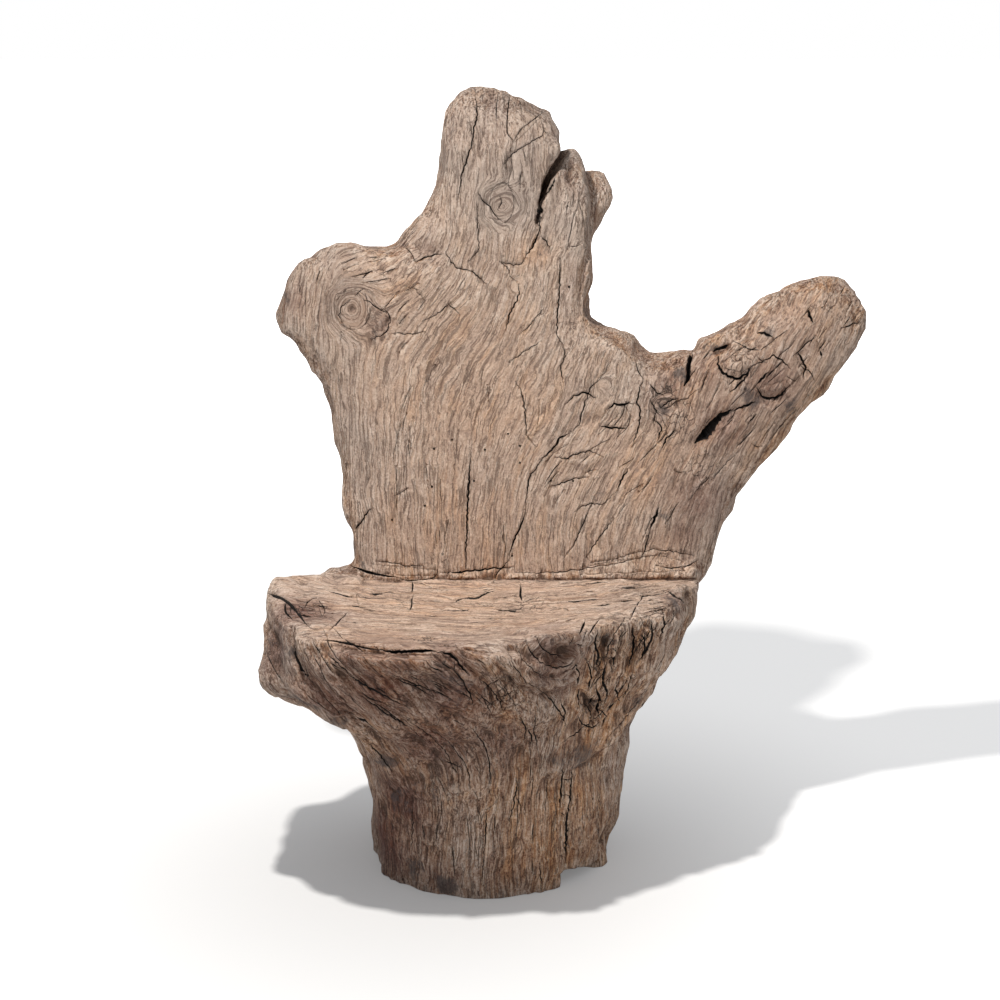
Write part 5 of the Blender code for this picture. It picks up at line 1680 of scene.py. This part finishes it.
def fibre_colour(make, wood):
    """Light and dark fibres with rings between them, warmer or greyer from place to place."""
    share = make.times_plus(wood.blotches, 0.36, make.times_plus(wood.streak, 1.20, -0.26))
    share = make.times_plus(wood.specks, 0.70, make.plus(share, -0.35))
    # Lighter on ridges, as wear and as a painted highlight, and darker in the hollows as painted shade
    share = make.plus(share, make.step(wood.hollow, 0.9, -0.9, -0.10, 0.09))
    base = make.ramp(share, FIBRE_SHADES)
    ringed = make.times(wood.ring, make.step(wood.blotches, 0.34, 0.56, 0.15, 0.62))
    base = make.tint(ringed, base, RING_FIBRE)

    warmth = make.plus(wood.warmth, make.times_plus(wood.patches, 2.2, -1.1))
    base = make.tint(make.step(warmth, -0.1, 0.9, 0.0, 0.80), base, HONEY_TINT, "MULTIPLY")
    golden = make.times(make.step(warmth, -0.3, 0.8, 0.35, 1.0), make.step(wood.hue, 0.49, 0.60))
    base = make.tint(make.times(golden, 0.75), base, GOLD_TINT, "MULTIPLY")
    base = make.tint(make.step(wood.hue, 0.47, 0.38, 0.0, 0.60), base, LILAC_TINT, "MULTIPLY")
    base = make.tint(make.step(warmth, 0.1, -0.9, 0.0, 0.62), base, GREY_WEATHER)
    base = make.tint(make.step(share, 0.60, 0.78, 0.0, 0.55), base, PALE_FIBRE)
    base = make.tint(make.step(wood.raw, 0.9, 0.1, 0.0, 0.32), base, PALE_FIBRE)
    lined = make.times(wood.dark, make.times_plus(wood.raw, 0.20, 0.68))
    base = make.tint(lined, base, DARK_FIBRE)
    return make.tint(make.times(wood.knot, 0.14), base, BROWN_FIBRE)


def stained_colour(make, wood, base):
    """Damp and painted shade where the wood is darker, stains and mould."""
    # Damp, and painted shade below the rim and on the low wood turned away from the camera
    patchy = make.plus(make.times(wood.blotches, 0.9), make.times_plus(wood.streak, -1.8, 0.50))
    dusk = make.times_plus(patchy, wood.dusk, wood.dusk)
    base = make.tint(dusk, base, DAMP_AND_SHADE_TINT, "MULTIPLY")
    ragged = make.times_plus(wood.blotches, 1.6, make.times_plus(wood.specks, 0.9, -1.25))
    stained = make.step(make.plus(wood.stain, ragged), 0.30, 0.70, 0.0, 0.75)
    stained = make.times(stained, make.step(wood.stain, 0.03, 0.25))
    base = make.tint(stained, base, STAIN_DARK)
    return make.tint(make.step(wood.mould, 0.60, 0.72, 0.0, 0.20), base, STAIN_DARK)


def cracked_colour(make, wood, base):
    """Painted shade in the checks, darker wood beside the cracks, and painted shade in the hollows and inside
    the cracks.
    """
    # Painted shade in the checks of the crazed wood
    base = make.tint(make.times(wood.check, 0.78), base, CRACK_SHADE)
    # Darker in and beside the cracks
    crack_darkening = make.step(make.times_plus(wood.blotches, 0.7, wood.crack), 0.85, 1.40, 0.0, 0.50)
    base = make.tint(crack_darkening, base, SHADE_AND_CRACK_DARK)
    # Painted shade in the hollows
    base = make.tint(make.step(wood.hollow, 0.40, 2.00, 0.0, 0.50), base, SHADE_AND_CRACK_DARK)
    # Painted shade in the wide valleys of the raw wood
    vale = make.times(make.step(wood.vale, 0.2, 4.0), wood.raw)
    base = make.tint(make.times(vale, 0.42), base, SHADE_AND_CRACK_DARK)
    # Painted shade inside the cut cracks, the darker the deeper the wood lies
    return make.tint(make.step(wood.depth, 0.25, 1.60), base, CRACK_SHADE)


def wood_bump(make, wood):
    relief = make.times(wood.height, make.times_plus(wood.raw, 0.5, 0.8))
    for form, height in ((wood.check, -0.28), (wood.blotches, 0.55), (wood.specks, 0.22)):
        relief = make.times_plus(form, height, relief)
    return make.add("Bump", {"Strength": 1.0, "Distance": BUMP_REACH, "Height": relief}).outputs[0]


def wood_material(name, tint, roughness, grain_group, craze_group):
    """Weathered wood: fibres and rings, weather, stains, darkening along the cracks, painted shade and
    crazing.
    """
    material = bpy.data.materials.new(name)
    material.use_nodes = True
    make = NodeMaker(material.node_tree)
    wood = wood_features(make, grain_group, craze_group)
    base = fibre_colour(make, wood)
    base = stained_colour(make, wood, base)
    base = cracked_colour(make, wood, base)
    base = make.tint(1.0, base, tint, "MULTIPLY")
    shine = make.step(wood.streak, 0.35, 0.65, roughness + SHINE_SPREAD, roughness - SHINE_SPREAD)
    shader = material.node_tree.nodes["Principled BSDF"].inputs
    shader["Specular IOR Level"].default_value = GLOSS
    answers = {"Base Color": base, "Roughness": shine, "Normal": wood_bump(make, wood)}
    for socket, answer in answers.items():
        material.node_tree.links.new(answer, shader[socket])
    return material


def finish_piece(obj, node_name, material):
    obj.name = "worn_" + node_name
    obj.data.materials.clear()
    obj.data.materials.append(material)
    pick(obj)
    bpy.ops.object.shade_smooth_by_angle(angle=CREASE_ANGLE)
    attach(obj, "root")
    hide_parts(node_name)


def main():
    add_camera()
    add_key_lamp()
    add_fill_panel()
    add_world()
    add_floor()
    skin = fused_skin()
    tree = skin_tree(skin)
    grain = Grain(tree)
    furrow(skin, tree, grain)
    saw_level(skin)
    thin_out(skin)
    tree = skin_tree(skin)
    marks = crack_wood(skin, tree)
    pieces = part_pieces(skin)

    near_cracks = KDTree(len(marks))
    for number, place in enumerate(marks):
        near_cracks.insert(place, number)
    near_cracks.balance()
    groups = (root_grain_group(), crazing_group())
    woods = {slot: wood_material(*looks, *groups) for slot, looks in WOODS.items()}
    slots = {part["node"]: part["material_slot"] for part in frame["record"]["subparts"]}
    for node_name, piece in pieces.items():
        dress(piece, tree, grain, near_cracks)
        slot = slots[node_name]
        finish_piece(piece, node_name, woods[slot])


main()
bpy.context.scene.view_settings.view_transform = "Standard"
